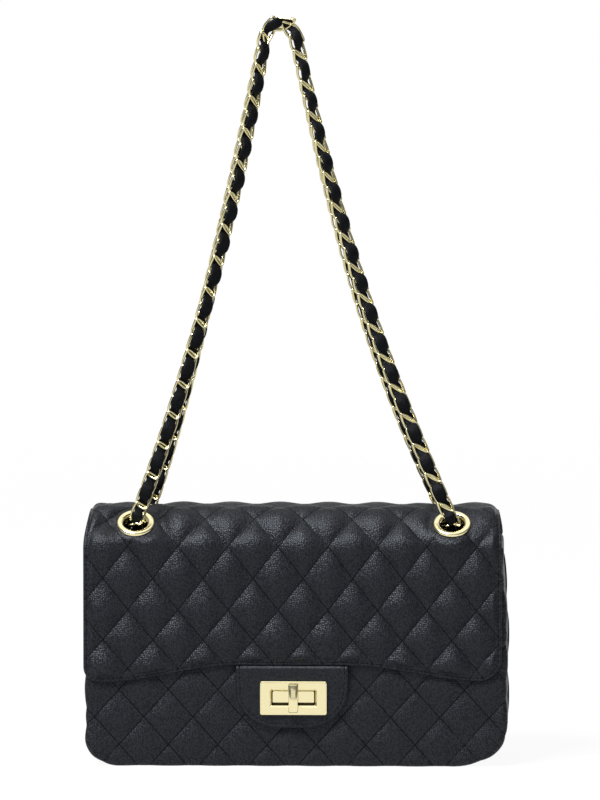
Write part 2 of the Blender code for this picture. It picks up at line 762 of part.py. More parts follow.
def eyelet(name, front, x, carrier):
    """Rounded ring and barrel of one eyelet."""
    outer_barrel = EYELET_BORE + EYELET_WALL
    crown = EYELET_RADIUS - EYELET_BORE
    profile = [(EYELET_BORE, -FLAP_STACK - GAP)]
    for across, up in EYELET_BEAD_SHARES:
        profile.append((EYELET_BORE + crown * across, EYELET_HEIGHT * up))
    profile.append((EYELET_RADIUS, GAP))
    profile.append((outer_barrel, GAP))
    profile.append((outer_barrel, -FLAP_STACK - GAP))
    add_piece("eyelet_" + name, turned(profile, eyelet_frame(front, x)), PALE_GOLD, carrier)


def eyelet_washer(name, front, x, carrier):
    """Washer that the eyelet's barrel is set over, inside the flap."""
    inner = EYELET_BORE + EYELET_WALL + GAP
    top = -FLAP_STACK - GAP
    foot = top - WASHER_THICKNESS
    profile = [(inner, foot), (inner, top), (WASHER_RADIUS, top), (WASHER_RADIUS, foot)]
    add_piece("eyelet_washer_" + name, turned(profile, eyelet_frame(front, x)), PALE_GOLD, carrier)


def pivot_place(front, x):
    """Where the strap turns: on the eyelet's axis, just above its ring."""
    return eyelet_frame(front, x) @ Vector((0.0, 0.0, EYELET_HEIGHT + PIVOT_CLEARANCE))


def bezier(start, start_pull, end_pull, end, steps):
    """Points on a cubic curve."""
    points = []
    for step in range(steps + 1):
        t = step / steps
        u = 1 - t
        points.append(start * u**3 + start_pull * 3 * u * u * t + end_pull * 3 * u * t * t + end * t**3)
    return points


def walk(route, steps):
    """Knots along a route, each one's straight distance from the last given by steps, and the route left over."""
    knots = [route[0]]
    leg = 1
    for step in steps:
        here = knots[-1]
        while leg < len(route) - 1 and (route[leg] - here).length < step:
            leg += 1
        near = route[leg - 1]
        far = route[leg]
        low, high = 0.0, 3.0 if leg == len(route) - 1 else 1.0
        for _ in range(40):
            middle = (low + high) / 2
            if (near.lerp(far, middle) - here).length < step:
                low = middle
            else:
                high = middle
        knots.append(near.lerp(far, low))
    end = route[-1]
    heading = (route[-1] - route[-2]).normalized()
    return knots, (end - knots[-1]).dot(heading)


def strap_route(foot_spacing, rise):
    """The loop in its own plane: up the left leg, round the peak and down the right leg."""
    radius = STRAP_PEAK_RADIUS
    centre = Vector((STRAP_PEAK_OFFSET, rise - radius, 0.0))
    left_turn = math.atan(LEFT_PEAK_SLOPE)
    right_turn = math.atan(RIGHT_PEAK_SLOPE)
    pull = rise * LEG_PULL_SHARE
    left_foot = Vector((-foot_spacing / 2, 0.0, 0.0))
    right_foot = Vector((foot_spacing / 2, 0.0, 0.0))
    crown = [
        centre + Vector((math.cos(angle), math.sin(angle), 0.0)) * radius
        for angle in np.linspace(math.pi - left_turn, right_turn, 25)
    ]
    left_pull = Vector((LEFT_FOOT_SLOPE, 1.0, 0.0)) * pull
    left_peak_pull = Vector((LEFT_PEAK_SLOPE, 1.0, 0.0)) * pull
    right_pull = Vector((-RIGHT_FOOT_SLOPE, 1.0, 0.0)) * pull
    right_peak_pull = Vector((-RIGHT_PEAK_SLOPE, 1.0, 0.0)) * pull
    left = bezier(left_foot, left_foot + left_pull, crown[0] - left_peak_pull, crown[0], 60)
    right = bezier(crown[-1], crown[-1] - right_peak_pull, right_foot + right_pull, right_foot, 60)
    return left + crown[1:-1] + right


def link_steps(pitch, counts):
    """Distances between knots. The first link of each later run gives up its play to the run before."""
    steps = []
    for run, count in enumerate(counts):
        steps += [pitch] * count
        if run:
            steps[-count] = pitch - LINK_PLAY
    return steps


def fitted_pitch(route, counts):
    """The pitch at which the links fill the route exactly."""
    low, high = LINK_PITCH / 2, LINK_PITCH * 2
    for _ in range(50):
        middle = (low + high) / 2
        if walk(route, link_steps(middle, counts))[1] > 0.0:
            low = middle
        else:
            high = middle
    return low


def link_frames(knots, pitch, facing=None, across=None):
    """One frame per link: x along it, y across, z out of its face. Either facing or across is a fixed direction."""
    frames = []
    for here, after in zip(knots[:-1], knots[1:]):
        along = (after - here).normalized()
        if facing is not None:
            side = facing.cross(along).normalized()
        else:
            side = (across - along * across.dot(along)).normalized()
        face = along.cross(side)
        middle = after - along * (pitch / 2)
        frame = Matrix((along, side, face)).transposed().to_4x4()
        frames.append(Matrix.Translation(middle) @ frame)
    return frames


def link_reach(pitch):
    """Half a link's length to the middle of its wire: neighbours touch with the flat inner sides of their wire."""
    return (pitch + 2 * WIRE_INNER - LINK_WELD) / 2


def link_points(pitch):
    """One curb link: a rounded oblong of wire, twisted about its length so that the next link passes through."""
    reach = link_reach(pitch)
    half = LINK_WIDTH / 2 - WIRE_RADIUS
    side = reach - half * LINK_SIDE_SHARE
    tip = half * LINK_TIP_SHARE
    quarter = [(side, -half), (reach, -tip), (reach, tip), (side, half)]
    centreline = [Vector((x, y, 0.0)) for x, y in quarter + [(-x, -y) for x, y in quarter]]
    count = len(centreline)
    points = []
    for index, place in enumerate(centreline):
        before = (place - centreline[index - 1]).normalized()
        after = (centreline[(index + 1) % count] - place).normalized()
        forward = (before + after).normalized()
        stretch = 1 / math.sqrt((1 + before.dot(after)) / 2)
        outward = Vector((forward.y, -forward.x, 0.0)) * (WIRE_RADIUS * stretch)
        twist = Matrix.Rotation(LINK_TWIST * place.x / reach, 3, "X")
        for side_of_wire in range(WIRE_SIDES):
            angle = 2 * math.pi * side_of_wire / WIRE_SIDES
            rise = Vector((0.0, 0.0, WIRE_RADIUS * math.sin(angle)))
            points.append(twist @ (place + outward * math.cos(angle) + rise))
    return points, count


def links_mesh(frames, pitch):
    """Separate links in one mesh."""
    unit, count = link_points(pitch)
    points = []
    faces = []
    for frame in frames:
        first = len(points)
        points += [frame @ point for point in unit]
        for ring in range(count):
            following = (ring + 1) % count
            for corner in range(WIRE_SIDES):
                beside = (corner + 1) % WIRE_SIDES
                here = first + ring * WIRE_SIDES
                there = first + following * WIRE_SIDES
                faces.append((here + corner, there + corner, there + beside, here + beside))
    return mesh_of(points, faces)


def chain(name, frames, pitch, carrier):
    """A run of links, each seated on the next and welded there by a hair."""
    even = links_mesh(frames[0::2], pitch)
    odd = links_mesh(frames[1::2], pitch)
    add_piece(name, joined(even, odd), PALE_GOLD, carrier)


def ribbon(name, frames, pitch, first_sign, carrier):
    """Leather ribbon woven through the links: over one joint between links and under the next."""
    climb = pitch / 2 - RIBBON_FLAT
    slope = RIBBON_LIFT / climb
    stations = []
    sign = first_sign
    for index, frame in enumerate(frames):
        start = -climb
        end = climb
        if index == 0:
            start = -pitch / 2 + RIBBON_END
        if index == len(frames) - 1:
            end = pitch / 2 - RIBBON_END
        stations.append((frame, start, -sign * slope * start))
        stations.append((frame, end, -sign * slope * end))
        sign = -sign
    rings = []
    half = RIBBON_WIDTH / 2
    for frame, along, lift in stations:
        low = lift - RIBBON_THICKNESS / 2
        high = lift + RIBBON_THICKNESS / 2
        corners = [(-half, low), (half, low), (half, high), (-half, high)]
        rings.append([frame @ Vector((along, side, up)) for side, up in corners])
    add_piece(name, loft(rings), SMOOTH_LEATHER, carrier)


def strap_loop(name, front):
    """One loop of the doubled strap, on the axis that runs through its two eyelets."""
    spacing = FRONT_EYELET_SPACING if front else REAR_EYELET_SPACING
    foot = pivot_place(front, 0.0)
    peak_depth = -STRAP_PEAK_GAP / 2 if front else STRAP_PEAK_GAP / 2
    lean = math.atan2(peak_depth - foot.y, STRAP_RISE)
    rise = STRAP_RISE / math.cos(lean)
    carrier = pivot(name + "_pivot", foot, -lean)
    route = strap_route(spacing, rise)
    length = sum((after - here).length for here, after in zip(route[:-1], route[1:]))
    leg_links = round((length / LINK_PITCH - PEAK_LINKS) / 2)
    counts = [leg_links, PEAK_LINKS, leg_links]
    pitch = fitted_pitch(route, counts)
    knots = walk(route, link_steps(pitch, counts))[0]
    upright = carrier.matrix_world @ Matrix.Rotation(math.pi / 2, 4, "X")
    facing = Vector((0.0, 0.0, 1.0))
    frames = [upright @ frame for frame in link_frames(knots, pitch, facing=facing)]
    top = leg_links + PEAK_LINKS
    chain(name + "_chain_left", frames[:leg_links], pitch, carrier)
    chain(name + "_chain_top", frames[leg_links:top], pitch, carrier)
    chain(name + "_chain_right", frames[top:], pitch, carrier)
    ribbon(name + "_ribbon", frames, pitch, 1, carrier)


def inner_chain(side_name, side, carrier):
    """The strap's run under the flap, from a front eyelet to the rear one, sagging as its links allow."""
    start = pivot_place(True, side * FRONT_EYELET_SPACING / 2)
    end = pivot_place(False, side * REAR_EYELET_SPACING / 2)
    inwards = -(eyelet_frame(True, 0.0).to_3x3() @ Vector((0.0, 0.0, 1.0)))
    outwards = eyelet_frame(False, 0.0).to_3x3() @ Vector((0.0, 0.0, 1.0))
    overhang = link_reach(LINK_PITCH) + WIRE_RADIUS - LINK_PITCH / 2
    lead = INNER_START + overhang
    links = math.ceil(((end - start).length * INNER_SLACK_SHARE - 2 * lead) / LINK_PITCH)
    low, high = 0.0, (end - start).length / 2
    for _ in range(50):
        pull = (low + high) / 2
        route = bezier(start, start + inwards * pull, end - outwards * pull, end, 80)
        knots, left_over = walk(route, [lead] + [LINK_PITCH] * links + [lead])
        if left_over > 0.0:
            high = pull
        else:
            low = pull
    across = (Vector((0.0, 0.0, -1.0)).cross(end - start)).normalized()
    frames = link_frames(knots[1:-1], LINK_PITCH, across=across)
    chain("inner_chain_" + side_name, frames, LINK_PITCH, carrier)
    ribbon("inner_ribbon_" + side_name, frames, LINK_PITCH, -1, carrier)


def build():
    clear_scene()
    front_panel()
    back_panel()
    back_slip_pocket()
    gusset("gusset_left", -1)
    gusset("gusset_right", 1)
    base_panel()
    base_board()
    lining()
    mouth_facing()
    inner_pocket()
    lock_base()
    lock_base_backplate()
    lock_pivot = pivot("turn_bar_pivot", (0.0, BAR_BACK, LOCK_HEIGHT))
    turn_bar(lock_pivot)
    turn_bar_retainer(lock_pivot)
    fold = pivot("flap_fold", (0.0, BACK_FACE, HINGE_HEIGHT))
    flap_outer(fold)
    flap_lining(fold)
    tongue(fold)
    lock_frame(fold)
    lock_frame_backplate(fold)
    for name, front, x in eyelet_places():
        eyelet(name, front, x, fold)
        eyelet_washer(name, front, x, fold)
    inner_chain("left", -1, fold)
    inner_chain("right", 1, fold)
    strap_loop("front_strap", True)
    strap_loop("rear_strap", False)


build()
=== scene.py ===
"""Quilted crossbody bag with a turn lock and a doubled chain strap: the looks of each piece, in metres.

Each section makes one piece or one group of like pieces, in the order in which the bag is put together.
"""

import json
import math

import bmesh
import bpy
import numpy as np
from mathutils import Matrix, Vector


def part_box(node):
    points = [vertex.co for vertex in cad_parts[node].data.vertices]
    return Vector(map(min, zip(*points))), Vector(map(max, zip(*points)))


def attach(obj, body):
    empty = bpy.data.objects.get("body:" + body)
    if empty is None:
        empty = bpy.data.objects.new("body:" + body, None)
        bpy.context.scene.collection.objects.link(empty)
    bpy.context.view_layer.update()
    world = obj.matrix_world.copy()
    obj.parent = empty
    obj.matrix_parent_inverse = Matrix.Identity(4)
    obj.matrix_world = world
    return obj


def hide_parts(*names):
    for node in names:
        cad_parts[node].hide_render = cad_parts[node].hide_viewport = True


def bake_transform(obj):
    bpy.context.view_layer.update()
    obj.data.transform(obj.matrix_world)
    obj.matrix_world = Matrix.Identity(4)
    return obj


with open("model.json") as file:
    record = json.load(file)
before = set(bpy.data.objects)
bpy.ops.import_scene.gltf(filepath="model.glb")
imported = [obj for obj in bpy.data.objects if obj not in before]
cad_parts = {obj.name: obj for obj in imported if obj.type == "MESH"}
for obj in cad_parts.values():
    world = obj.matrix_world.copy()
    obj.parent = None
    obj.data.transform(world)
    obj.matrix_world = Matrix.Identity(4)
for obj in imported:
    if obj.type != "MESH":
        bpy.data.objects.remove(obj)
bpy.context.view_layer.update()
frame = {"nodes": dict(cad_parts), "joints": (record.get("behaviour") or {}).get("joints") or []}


# The front panel: pebbled cowhide over thin foam, sewn through in diamonds with black thread.
# Its edges are rolled back and sewn to the gussets and the base, and the lock's base is let into it.
PANEL_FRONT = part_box("front_panel")[0].y
PANEL_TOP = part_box("front_panel")[1].z
BODY_HALF = 0.1254
BODY_SHIFT = 0.0015
BODY_TAPER = 0.0026
BODY_FOOT = 0.0002
BODY_CORNERS = ((0.0190, 0.0175), (0.0330, 0.0225))
BODY_QUILT = {"width": 0.0295, "height": 0.0330, "u": -0.0174, "v": 0.0132, "swell": 2.6, "rise": 0.0013}
PANEL_ROLL = 0.0028
PANEL_SKIN = 0.0022
LOCK_HEIGHT = 0.042
SEAT_HALF = (0.0186, 0.0088)
STEPS_IN_DIAMOND = 28
BAND = (0.0, 0.0004, 0.0010, 0.0017, 0.0025, 0.0034, 0.0044)
TOP_BAND = (0.0, 0.0006, 0.0013, 0.002)
THREAD_RADIUS = 0.00020
THREAD_SINK = 0.00008
STITCH_LENGTH = 0.0022
STITCH_PITCH = 0.0030
SHEET_LEVEL = 0.0006
GRAIN_DRIFT = (0.0040, 0.0040, 0.0)
LEATHER_DARK = (0.0042, 0.0043, 0.0056)
LEATHER_CREST = (0.0071, 0.0073, 0.0094)
LEATHER_SHEEN = (0.84, 0.91, 1.0)
THREAD_BLACK = (0.0030, 0.0030, 0.0034)


def smooth(value, low, high):
    """0 below low, 1 above high, and an eased climb between them."""
    share = np.clip((value - low) / (high - low), 0.0, 1.0)
    return share * share * (3 - 2 * share)


def same(row):
    return row


def lines_away(u, v, quilt):
    """Distances to the nearest stitched line of each of the two slants, and the lines' spacing."""
    across = (u - quilt["u"]) / quilt["width"]
    along = (quilt.get("pull", same)(v) - quilt["v"]) / quilt["height"]
    spacing = quilt["width"] * quilt["height"] / math.hypot(quilt["width"], quilt["height"])
    return [np.abs(slant - np.round(slant)) * spacing for slant in (across + along, across - along)], spacing


def puff(u, v, quilt):
    """The padding's height: 0 on the stitched lines, full in the middle of a diamond."""
    away, spacing = lines_away(u, v, quilt)
    lift = [1 - (1 - np.clip(2 * distance / spacing, 0.0, 1.0)) ** quilt["swell"] for distance in away]
    return quilt["rise"] * lift[0] * lift[1]


def flat_cut(quilt, half, foot, top, corners=(), foot_band=BAND, side_band=BAND, top_band=(0.0,)):
    """A panel's flat cut as points and triangles, on a grid whose diagonals follow the stitched lines.
    foot and top give the lower and upper edge at each place across. The two lower corners are rounded."""
    step = quilt["width"] / STEPS_IN_DIAMOND
    rise = quilt["height"] / STEPS_IN_DIAMOND
    side_band, foot_band, top_band = (np.array(band) for band in (side_band, foot_band, top_band))
    inner = half - side_band[-1] - step * 0.4
    numbers = np.arange(math.ceil((-inner - quilt["u"]) / step), math.floor((inner - quilt["u"]) / step) + 1)
    across = np.concatenate([-half + side_band, quilt["u"] + step * numbers, half - side_band[::-1]])
    low, high = foot(across), top(across)
    first_row = math.floor((low.min() - quilt["v"]) / rise) - 2
    last_row = math.ceil((high.max() - quilt["v"]) / rise) + 2
    rows = np.arange(first_row, last_row)
    rows = quilt.get("place", same)(quilt["v"] + rise * rows)
    first, last = (low + foot_band[-1])[:, None], (high - top_band[-1])[:, None]
    between = np.broadcast_to(rows, (len(across), len(rows)))
    between = np.where(between < first + rise * 0.4, first, between)
    between = np.where(between > last - rise * 0.4, last, between)
    v = np.concatenate([low[:, None] + foot_band, between, high[:, None] - top_band[::-1]], axis=1)
    u = np.broadcast_to(across[:, None], v.shape)
    repeated = np.concatenate([np.zeros((len(across), 1), bool), np.diff(v, axis=1) < 1e-7], axis=1)
    kept = np.maximum.accumulate(np.where(repeated, 0, np.arange(v.shape[1])), axis=1)
    ids = kept + np.arange(len(across))[:, None] * v.shape[1]
    a, b, c, d = ids[:-1, :-1], ids[1:, :-1], ids[1:, 1:], ids[:-1, 1:]
    away, _ = lines_away((u[:-1, :-1] + u[1:, 1:]) / 2, (v[:-1, :-1] + v[1:, 1:]) / 2, quilt)
    falling = (away[0] < away[1])[..., None]
    one = np.where(falling, np.stack([a, b, d], -1), np.stack([a, b, c], -1)).reshape(-1, 3)
    two = np.where(falling, np.stack([b, c, d], -1), np.stack([a, c, d], -1)).reshape(-1, 3)
    triangles = np.concatenate([one, two])
    flat = (triangles[:, 0] == triangles[:, 1]) | (triangles[:, 1] == triangles[:, 2])
    triangles = triangles[~(flat | (triangles[:, 0] == triangles[:, 2]))]
    u, v = u.ravel(), v.ravel()
    for side, (wide, tall) in zip((-1, 1), corners):
        centre_u = side * (half - wide)
        centre_v = foot(np.array([side * half]))[0] + tall
        out = np.clip(side * (u - centre_u) / wide, 0.0, None)
        down = np.clip((centre_v - v) / tall, 0.0, None)
        reach = np.maximum(out, down)
        small = np.minimum(out, down) / np.maximum(reach, 1e-9) * math.pi / 4
        angle = np.where(out >= down, small, math.pi / 2 - small)
        inside = (out > 0) & (down > 0)
        u = np.where(inside, centre_u + side * wide * reach * np.cos(angle), u)
        v = np.where(inside, centre_v - tall * reach * np.sin(angle), v)
    used = np.unique(triangles)
    renumber = np.zeros(len(u), int)
    renumber[used] = np.arange(len(used))
    return u[used], v[used], renumber[triangles]


def edge_distance(u, v, half, foot, corners=()):
    """Distance in from the sides or the foot, and the direction out to that edge."""
    side, low = half - np.abs(u), v - foot(u)
    distance = np.minimum(side, low)
    out_u = np.where(side <= low, np.sign(u), 0.0)
    out_v = np.where(side <= low, 0.0, -1.0)
    for hand, (wide, tall) in zip((-1, 1), corners):
        out = hand * (u - hand * (half - wide)) / wide
        down = (foot(np.array([hand * half]))[0] + tall - v) / tall
        inside = (out > 0) & (down > 0)
        reach = np.hypot(out, down)
        steep = np.maximum(np.hypot(out / wide, down / tall), 1e-9)
        distance = np.where(inside, (1 - reach) * reach / steep, distance)
        out_u = np.where(inside, hand * out / wide / steep, out_u)
        out_v = np.where(inside, -down / tall / steep, out_v)
    return distance, out_u, out_v


def rolled(distance, radius, depth):
    """How far leather at this distance from the edge moves out and back where the edge is rolled."""
    turn = math.pi / 2 * np.clip(1 - distance / radius, 0.0, 1.15)
    moved = np.where(distance < radius, distance - radius * (1 - np.sin(turn)), 0.0)
    return moved, np.where(distance < radius, depth * (1 - np.cos(turn)), 0.0)


def facing(place, u, v):
    """Unit normals of a placed surface."""
    step = 0.00015
    across = place(u + step, v) - place(u - step, v)
    along = place(u, v + step) - place(u, v - step)
    out = np.cross(across, along)
    return out / np.maximum(np.linalg.norm(out, axis=1), 1e-12)[:, None]


def leather_mesh(name, cut, place, height, thickness, quilt=None, gone=None, line=None):
    """A closed sheet of leather: an outer skin raised by height, an inner skin, and a rim. gone marks holes,
    and line gives the distance from a stitched line along the edge. Each point keeps a painted shade value,
    low on the stitched lines."""
    u, v, triangles = cut
    base = place(u, v)
    if gone is not None:
        middle = base[triangles].mean(axis=1)
        triangles = triangles[~gone(u[triangles].mean(axis=1), v[triangles].mean(axis=1), middle)]
    used = np.unique(triangles)
    renumber = np.zeros(len(u), int)
    renumber[used] = np.arange(len(used))
    u, v, base, triangles = u[used], v[used], base[used], renumber[triangles]
    out = facing(place, u, v)
    outer = base + out * height(u, v)[:, None]
    skin = np.broadcast_to(thickness(u, v) if callable(thickness) else thickness, u.shape)
    inner = base - out * skin[:, None]
    count = len(u)
    edges = np.concatenate([triangles[:, [0, 1]], triangles[:, [1, 2]], triangles[:, [2, 0]]])
    code = np.sort(edges, axis=1) @ np.array([count, 1])
    _, first, times = np.unique(code, return_index=True, return_counts=True)
    rim = edges[first[times == 1]]
    rim = np.stack([rim[:, 1], rim[:, 0], rim[:, 0] + count, rim[:, 1] + count], axis=1)
    mesh = bpy.data.meshes.new(name)
    points = np.concatenate([outer, inner])
    faces = triangles.tolist() + (triangles[:, ::-1] + count).tolist() + rim.tolist()
    mesh.from_pydata(points.tolist(), [], faces)
    # Painted shade kept at each point: near 0 on the quilting's stitched lines and on the given line, 1
    # elsewhere.
    seam_shade = np.full(2 * count, 1.0)
    if quilt is not None:
        away, _ = lines_away(u, v, quilt)
        seam_shade[:count] = np.minimum(np.minimum(away[0], away[1]) / 0.004, 1.0)
    if line is not None:
        seam_shade[:count] = np.minimum(seam_shade[:count], 0.04 + line(u, v) / 0.004)
    attribute = mesh.attributes.new("seam_shade", "FLOAT", "POINT")
    attribute.data.foreach_set("value", seam_shade.astype(np.float32))
    sheet = np.tile(np.stack([u, v, np.full_like(u, SHEET_LEVEL)], axis=1), (2, 1))
    attribute = mesh.attributes.new("sheet", "FLOAT_VECTOR", "POINT")
    attribute.data.foreach_set("vector", sheet.astype(np.float32).ravel())
    mesh.shade_smooth()
    return mesh


def quilt_runs(quilt, half, low_v, high_v, keep):
    """The stitched lines of both slants, as runs in the flat cut's own coordinates where keep allows."""
    place, pull = quilt.get("place", same), quilt.get("pull", same)
    step = 0.0009 * quilt["height"] / math.hypot(quilt["width"], quilt["height"])
    rows = np.arange(pull(np.array([low_v]))[0], pull(np.array([high_v]))[0], step)
    reach = math.ceil(2 * half / quilt["width"] + (high_v - low_v) / quilt["height"]) + 2
    reach += math.ceil(max(abs(low_v - quilt["v"]), abs(high_v - quilt["v"])) / quilt["height"])
    runs = []
    for slant in (-1, 1):
        for number in range(-reach, reach + 1):
            u = quilt["u"] + quilt["width"] * (number + slant * (rows - quilt["v"]) / quilt["height"])
            v = place(rows)
            inside = keep(u, v) & (np.abs(u) < half)
            breaks = np.flatnonzero(np.diff(np.concatenate([[0], inside.astype(int), [0]])))
            for start, end in zip(breaks[::2], breaks[1::2]):
                if end - start > 4:
                    runs.append((u[start:end], v[start:end]))
    return runs


def run_mesh(name, runs, place, lift):
    """Thread runs laid on a surface, with the surface's normal kept at each point."""
    points, edges, normals, total = [], [], [], 0
    for u, v in runs:
        out = facing(place, u, v)
        points.append(place(u, v) + out * lift(u, v)[:, None])
        normals.append(out)
        numbers = np.arange(total, total + len(u) - 1)
        edges.append(np.stack([numbers, numbers + 1], axis=1))
        total += len(u)
    mesh = bpy.data.meshes.new(name)
    mesh.from_pydata(np.concatenate(points).tolist(), np.concatenate(edges).tolist(), [])
    attribute = mesh.attributes.new("facing", "FLOAT_VECTOR", "POINT")
    attribute.data.foreach_set("vector", np.concatenate(normals).astype(np.float32).ravel())
    return mesh


def new_tree(name, kind, inputs, outputs):
    """An empty node group with named sockets, and its two end nodes."""
    tree = bpy.data.node_groups.new(name, kind)
    for label, socket, value in inputs:
        made = tree.interface.new_socket(label, in_out="INPUT", socket_type=socket)
        if value is not None:
            made.default_value = value
    for label, socket in outputs:
        tree.interface.new_socket(label, in_out="OUTPUT", socket_type=socket)
    return tree, tree.nodes.new("NodeGroupInput"), tree.nodes.new("NodeGroupOutput")


def node(tree, kind, inputs=(), **settings):
    """One node with its settings, and values or links for its inputs by socket name or number."""
    made = tree.nodes.new(kind)
    for key, value in settings.items():
        setattr(made, key, value)
    for socket, source in dict(inputs).items():
        if isinstance(source, bpy.types.NodeSocket):
            tree.links.new(source, made.inputs[socket])
        else:
            made.inputs[socket].default_value = source
    return made


def maths(tree, operation, first, second, kind="ShaderNodeMath"):
    """The result of one operation on two values or links."""
    return node(tree, kind, {0: first, 1: second}, operation=operation).outputs[0]


def eased(tree, value, low, high, start, end):
    """The climb of a value from low to high as one from start to end, eased at both ends."""
    sockets = {0: value, 1: low, 2: high, 3: start, 4: end}
    return node(tree, "ShaderNodeMapRange", sockets, interpolation_type="SMOOTHSTEP").outputs[0]


def kept_value(tree, label, kind="FLOAT"):
    """A value that a mesh keeps at each of its points."""
    return node(tree, "GeometryNodeInputNamedAttribute", {"Name": label}, data_type=kind).outputs["Attribute"]


def stitch_tree():
    """Black thread stitches set end to end along each run, each lying in its line."""
    inputs = [
        ("Runs", "NodeSocketGeometry", None),
        ("Stitch Length", "NodeSocketFloat", STITCH_LENGTH),
        ("Stitch Pitch", "NodeSocketFloat", STITCH_PITCH),
        ("Thread Radius", "NodeSocketFloat", THREAD_RADIUS),
        ("Thread", "NodeSocketMaterial", None),
    ]
    outputs = [("Stitches", "NodeSocketGeometry")]
    tree, given, result = new_tree("stitches", "GeometryNodeTree", inputs, outputs)
    given = given.outputs
    curve = node(tree, "GeometryNodeMeshToCurve", {"Mesh": given["Runs"]}).outputs[0]
    spacing = {"Curve": curve, "Length": given["Stitch Pitch"]}
    spaced = node(tree, "GeometryNodeResampleCurve", spacing, mode="LENGTH").outputs[0]
    bead = node(tree, "GeometryNodeMeshUVSphere", {"Segments": 6, "Rings": 4, "Radius": 1.0}).outputs["Mesh"]
    half = maths(tree, "MULTIPLY", given["Stitch Length"], 0.5)
    thin = given["Thread Radius"]
    size = node(tree, "ShaderNodeCombineXYZ", {"X": thin, "Y": thin, "Z": half}).outputs[0]
    stitch = node(tree, "GeometryNodeTransform", {"Geometry": bead, "Scale": size}).outputs[0]
    normal = kept_value(tree, "facing", "FLOAT_VECTOR")
    tangent = node(tree, "GeometryNodeInputTangent").outputs[0]
    turn = node(
        tree, "FunctionNodeAxesToRotation", {0: tangent, 1: normal}, primary_axis="Z", secondary_axis="X"
    )
    set_out = {"Points": spaced, "Instance": stitch, "Rotation": turn.outputs[0]}
    placed = node(tree, "GeometryNodeInstanceOnPoints", set_out).outputs[0]
    real = node(tree, "GeometryNodeRealizeInstances", {0: placed}).outputs[0]
    shaded = node(tree, "GeometryNodeSetShadeSmooth", {"Geometry": real}).outputs[0]
    painted = node(tree, "GeometryNodeSetMaterial", {"Geometry": shaded, "Material": given["Thread"]})
    tree.links.new(painted.outputs[0], result.inputs[0])
    return tree


def grown(name, source, tree, values):
    """The plain mesh that a tree makes from a source mesh."""
    holder = bpy.data.objects.new(name + "_source", source)
    bpy.context.scene.collection.objects.link(holder)
    maker = holder.modifiers.new(tree.name, "NODES")
    maker.node_group = tree
    for item in tree.interface.items_tree:
        if item.in_out == "INPUT" and item.name in values:
            maker[item.identifier] = values[item.name]
    bpy.context.view_layer.update()
    graph = bpy.context.evaluated_depsgraph_get()
    mesh = bpy.data.meshes.new_from_object(holder.evaluated_get(graph), depsgraph=graph)
    mesh.name = name
    holder.modifiers.remove(maker)
    bpy.data.objects.remove(holder)
    return mesh


def add_piece(name, mesh, look, body="bag", stands_for=()):
    """A finished piece at the origin, with its material, the body it rides on and the nodes it stands for."""
    piece = bpy.data.objects.new(name, mesh)
    bpy.context.scene.collection.objects.link(piece)
    mesh.materials.clear()
    mesh.materials.append(look)
    if body is not None:
        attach(piece, body)
    if stands_for:
        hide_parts(*stands_for)
    return piece


def pebble_group():
    """Pressed pebble grain: domed cells with creases between them. Gives height, crests and slow clouds."""
    inputs = [("Vector", "NodeSocketVector", None), ("Cells per Metre", "NodeSocketFloat", 800.0)]
    outputs = [("Height", "NodeSocketFloat"), ("Crest", "NodeSocketFloat"), ("Cloud", "NodeSocketFloat")]
    tree, given, result = new_tree("pebble grain", "ShaderNodeTree", inputs, outputs)
    vector, cells_per_metre = given.outputs["Vector"], given.outputs["Cells per Metre"]
    drift = node(tree, "ShaderNodeTexNoise", {"Vector": vector, "Scale": 70.0, "Detail": 0.0})
    spread = maths(tree, "MULTIPLY", drift.outputs["Color"], GRAIN_DRIFT, "ShaderNodeVectorMath")
    place = maths(tree, "ADD", vector, spread, "ShaderNodeVectorMath")
    laid_out = {"Vector": place, "Scale": cells_per_metre, "Randomness": 0.60}
    cells = node(tree, "ShaderNodeTexVoronoi", laid_out).outputs["Distance"]
    domed = eased(tree, cells, 0.10, 0.72, 1.0, 0.0)
    fine = maths(tree, "MULTIPLY", cells_per_metre, 2.7)
    pores = node(tree, "ShaderNodeTexNoise", {"Vector": place, "Scale": fine, "Detail": 2.0}).outputs[0]
    height = maths(tree, "ADD", domed, maths(tree, "MULTIPLY", pores, 0.08))
    crest = node(tree, "ShaderNodeMapRange", {0: domed, 1: 0.05, 2: 0.60, 3: 0.0, 4: 1.0}).outputs[0]
    cloud = node(tree, "ShaderNodeTexNoise", {"Vector": vector, "Scale": 38.0, "Detail": 4.0}).outputs[0]
    for label, source in (("Height", height), ("Crest", crest), ("Cloud", cloud)):
        tree.links.new(source, result.inputs[label])
    return tree


PEBBLES = pebble_group()


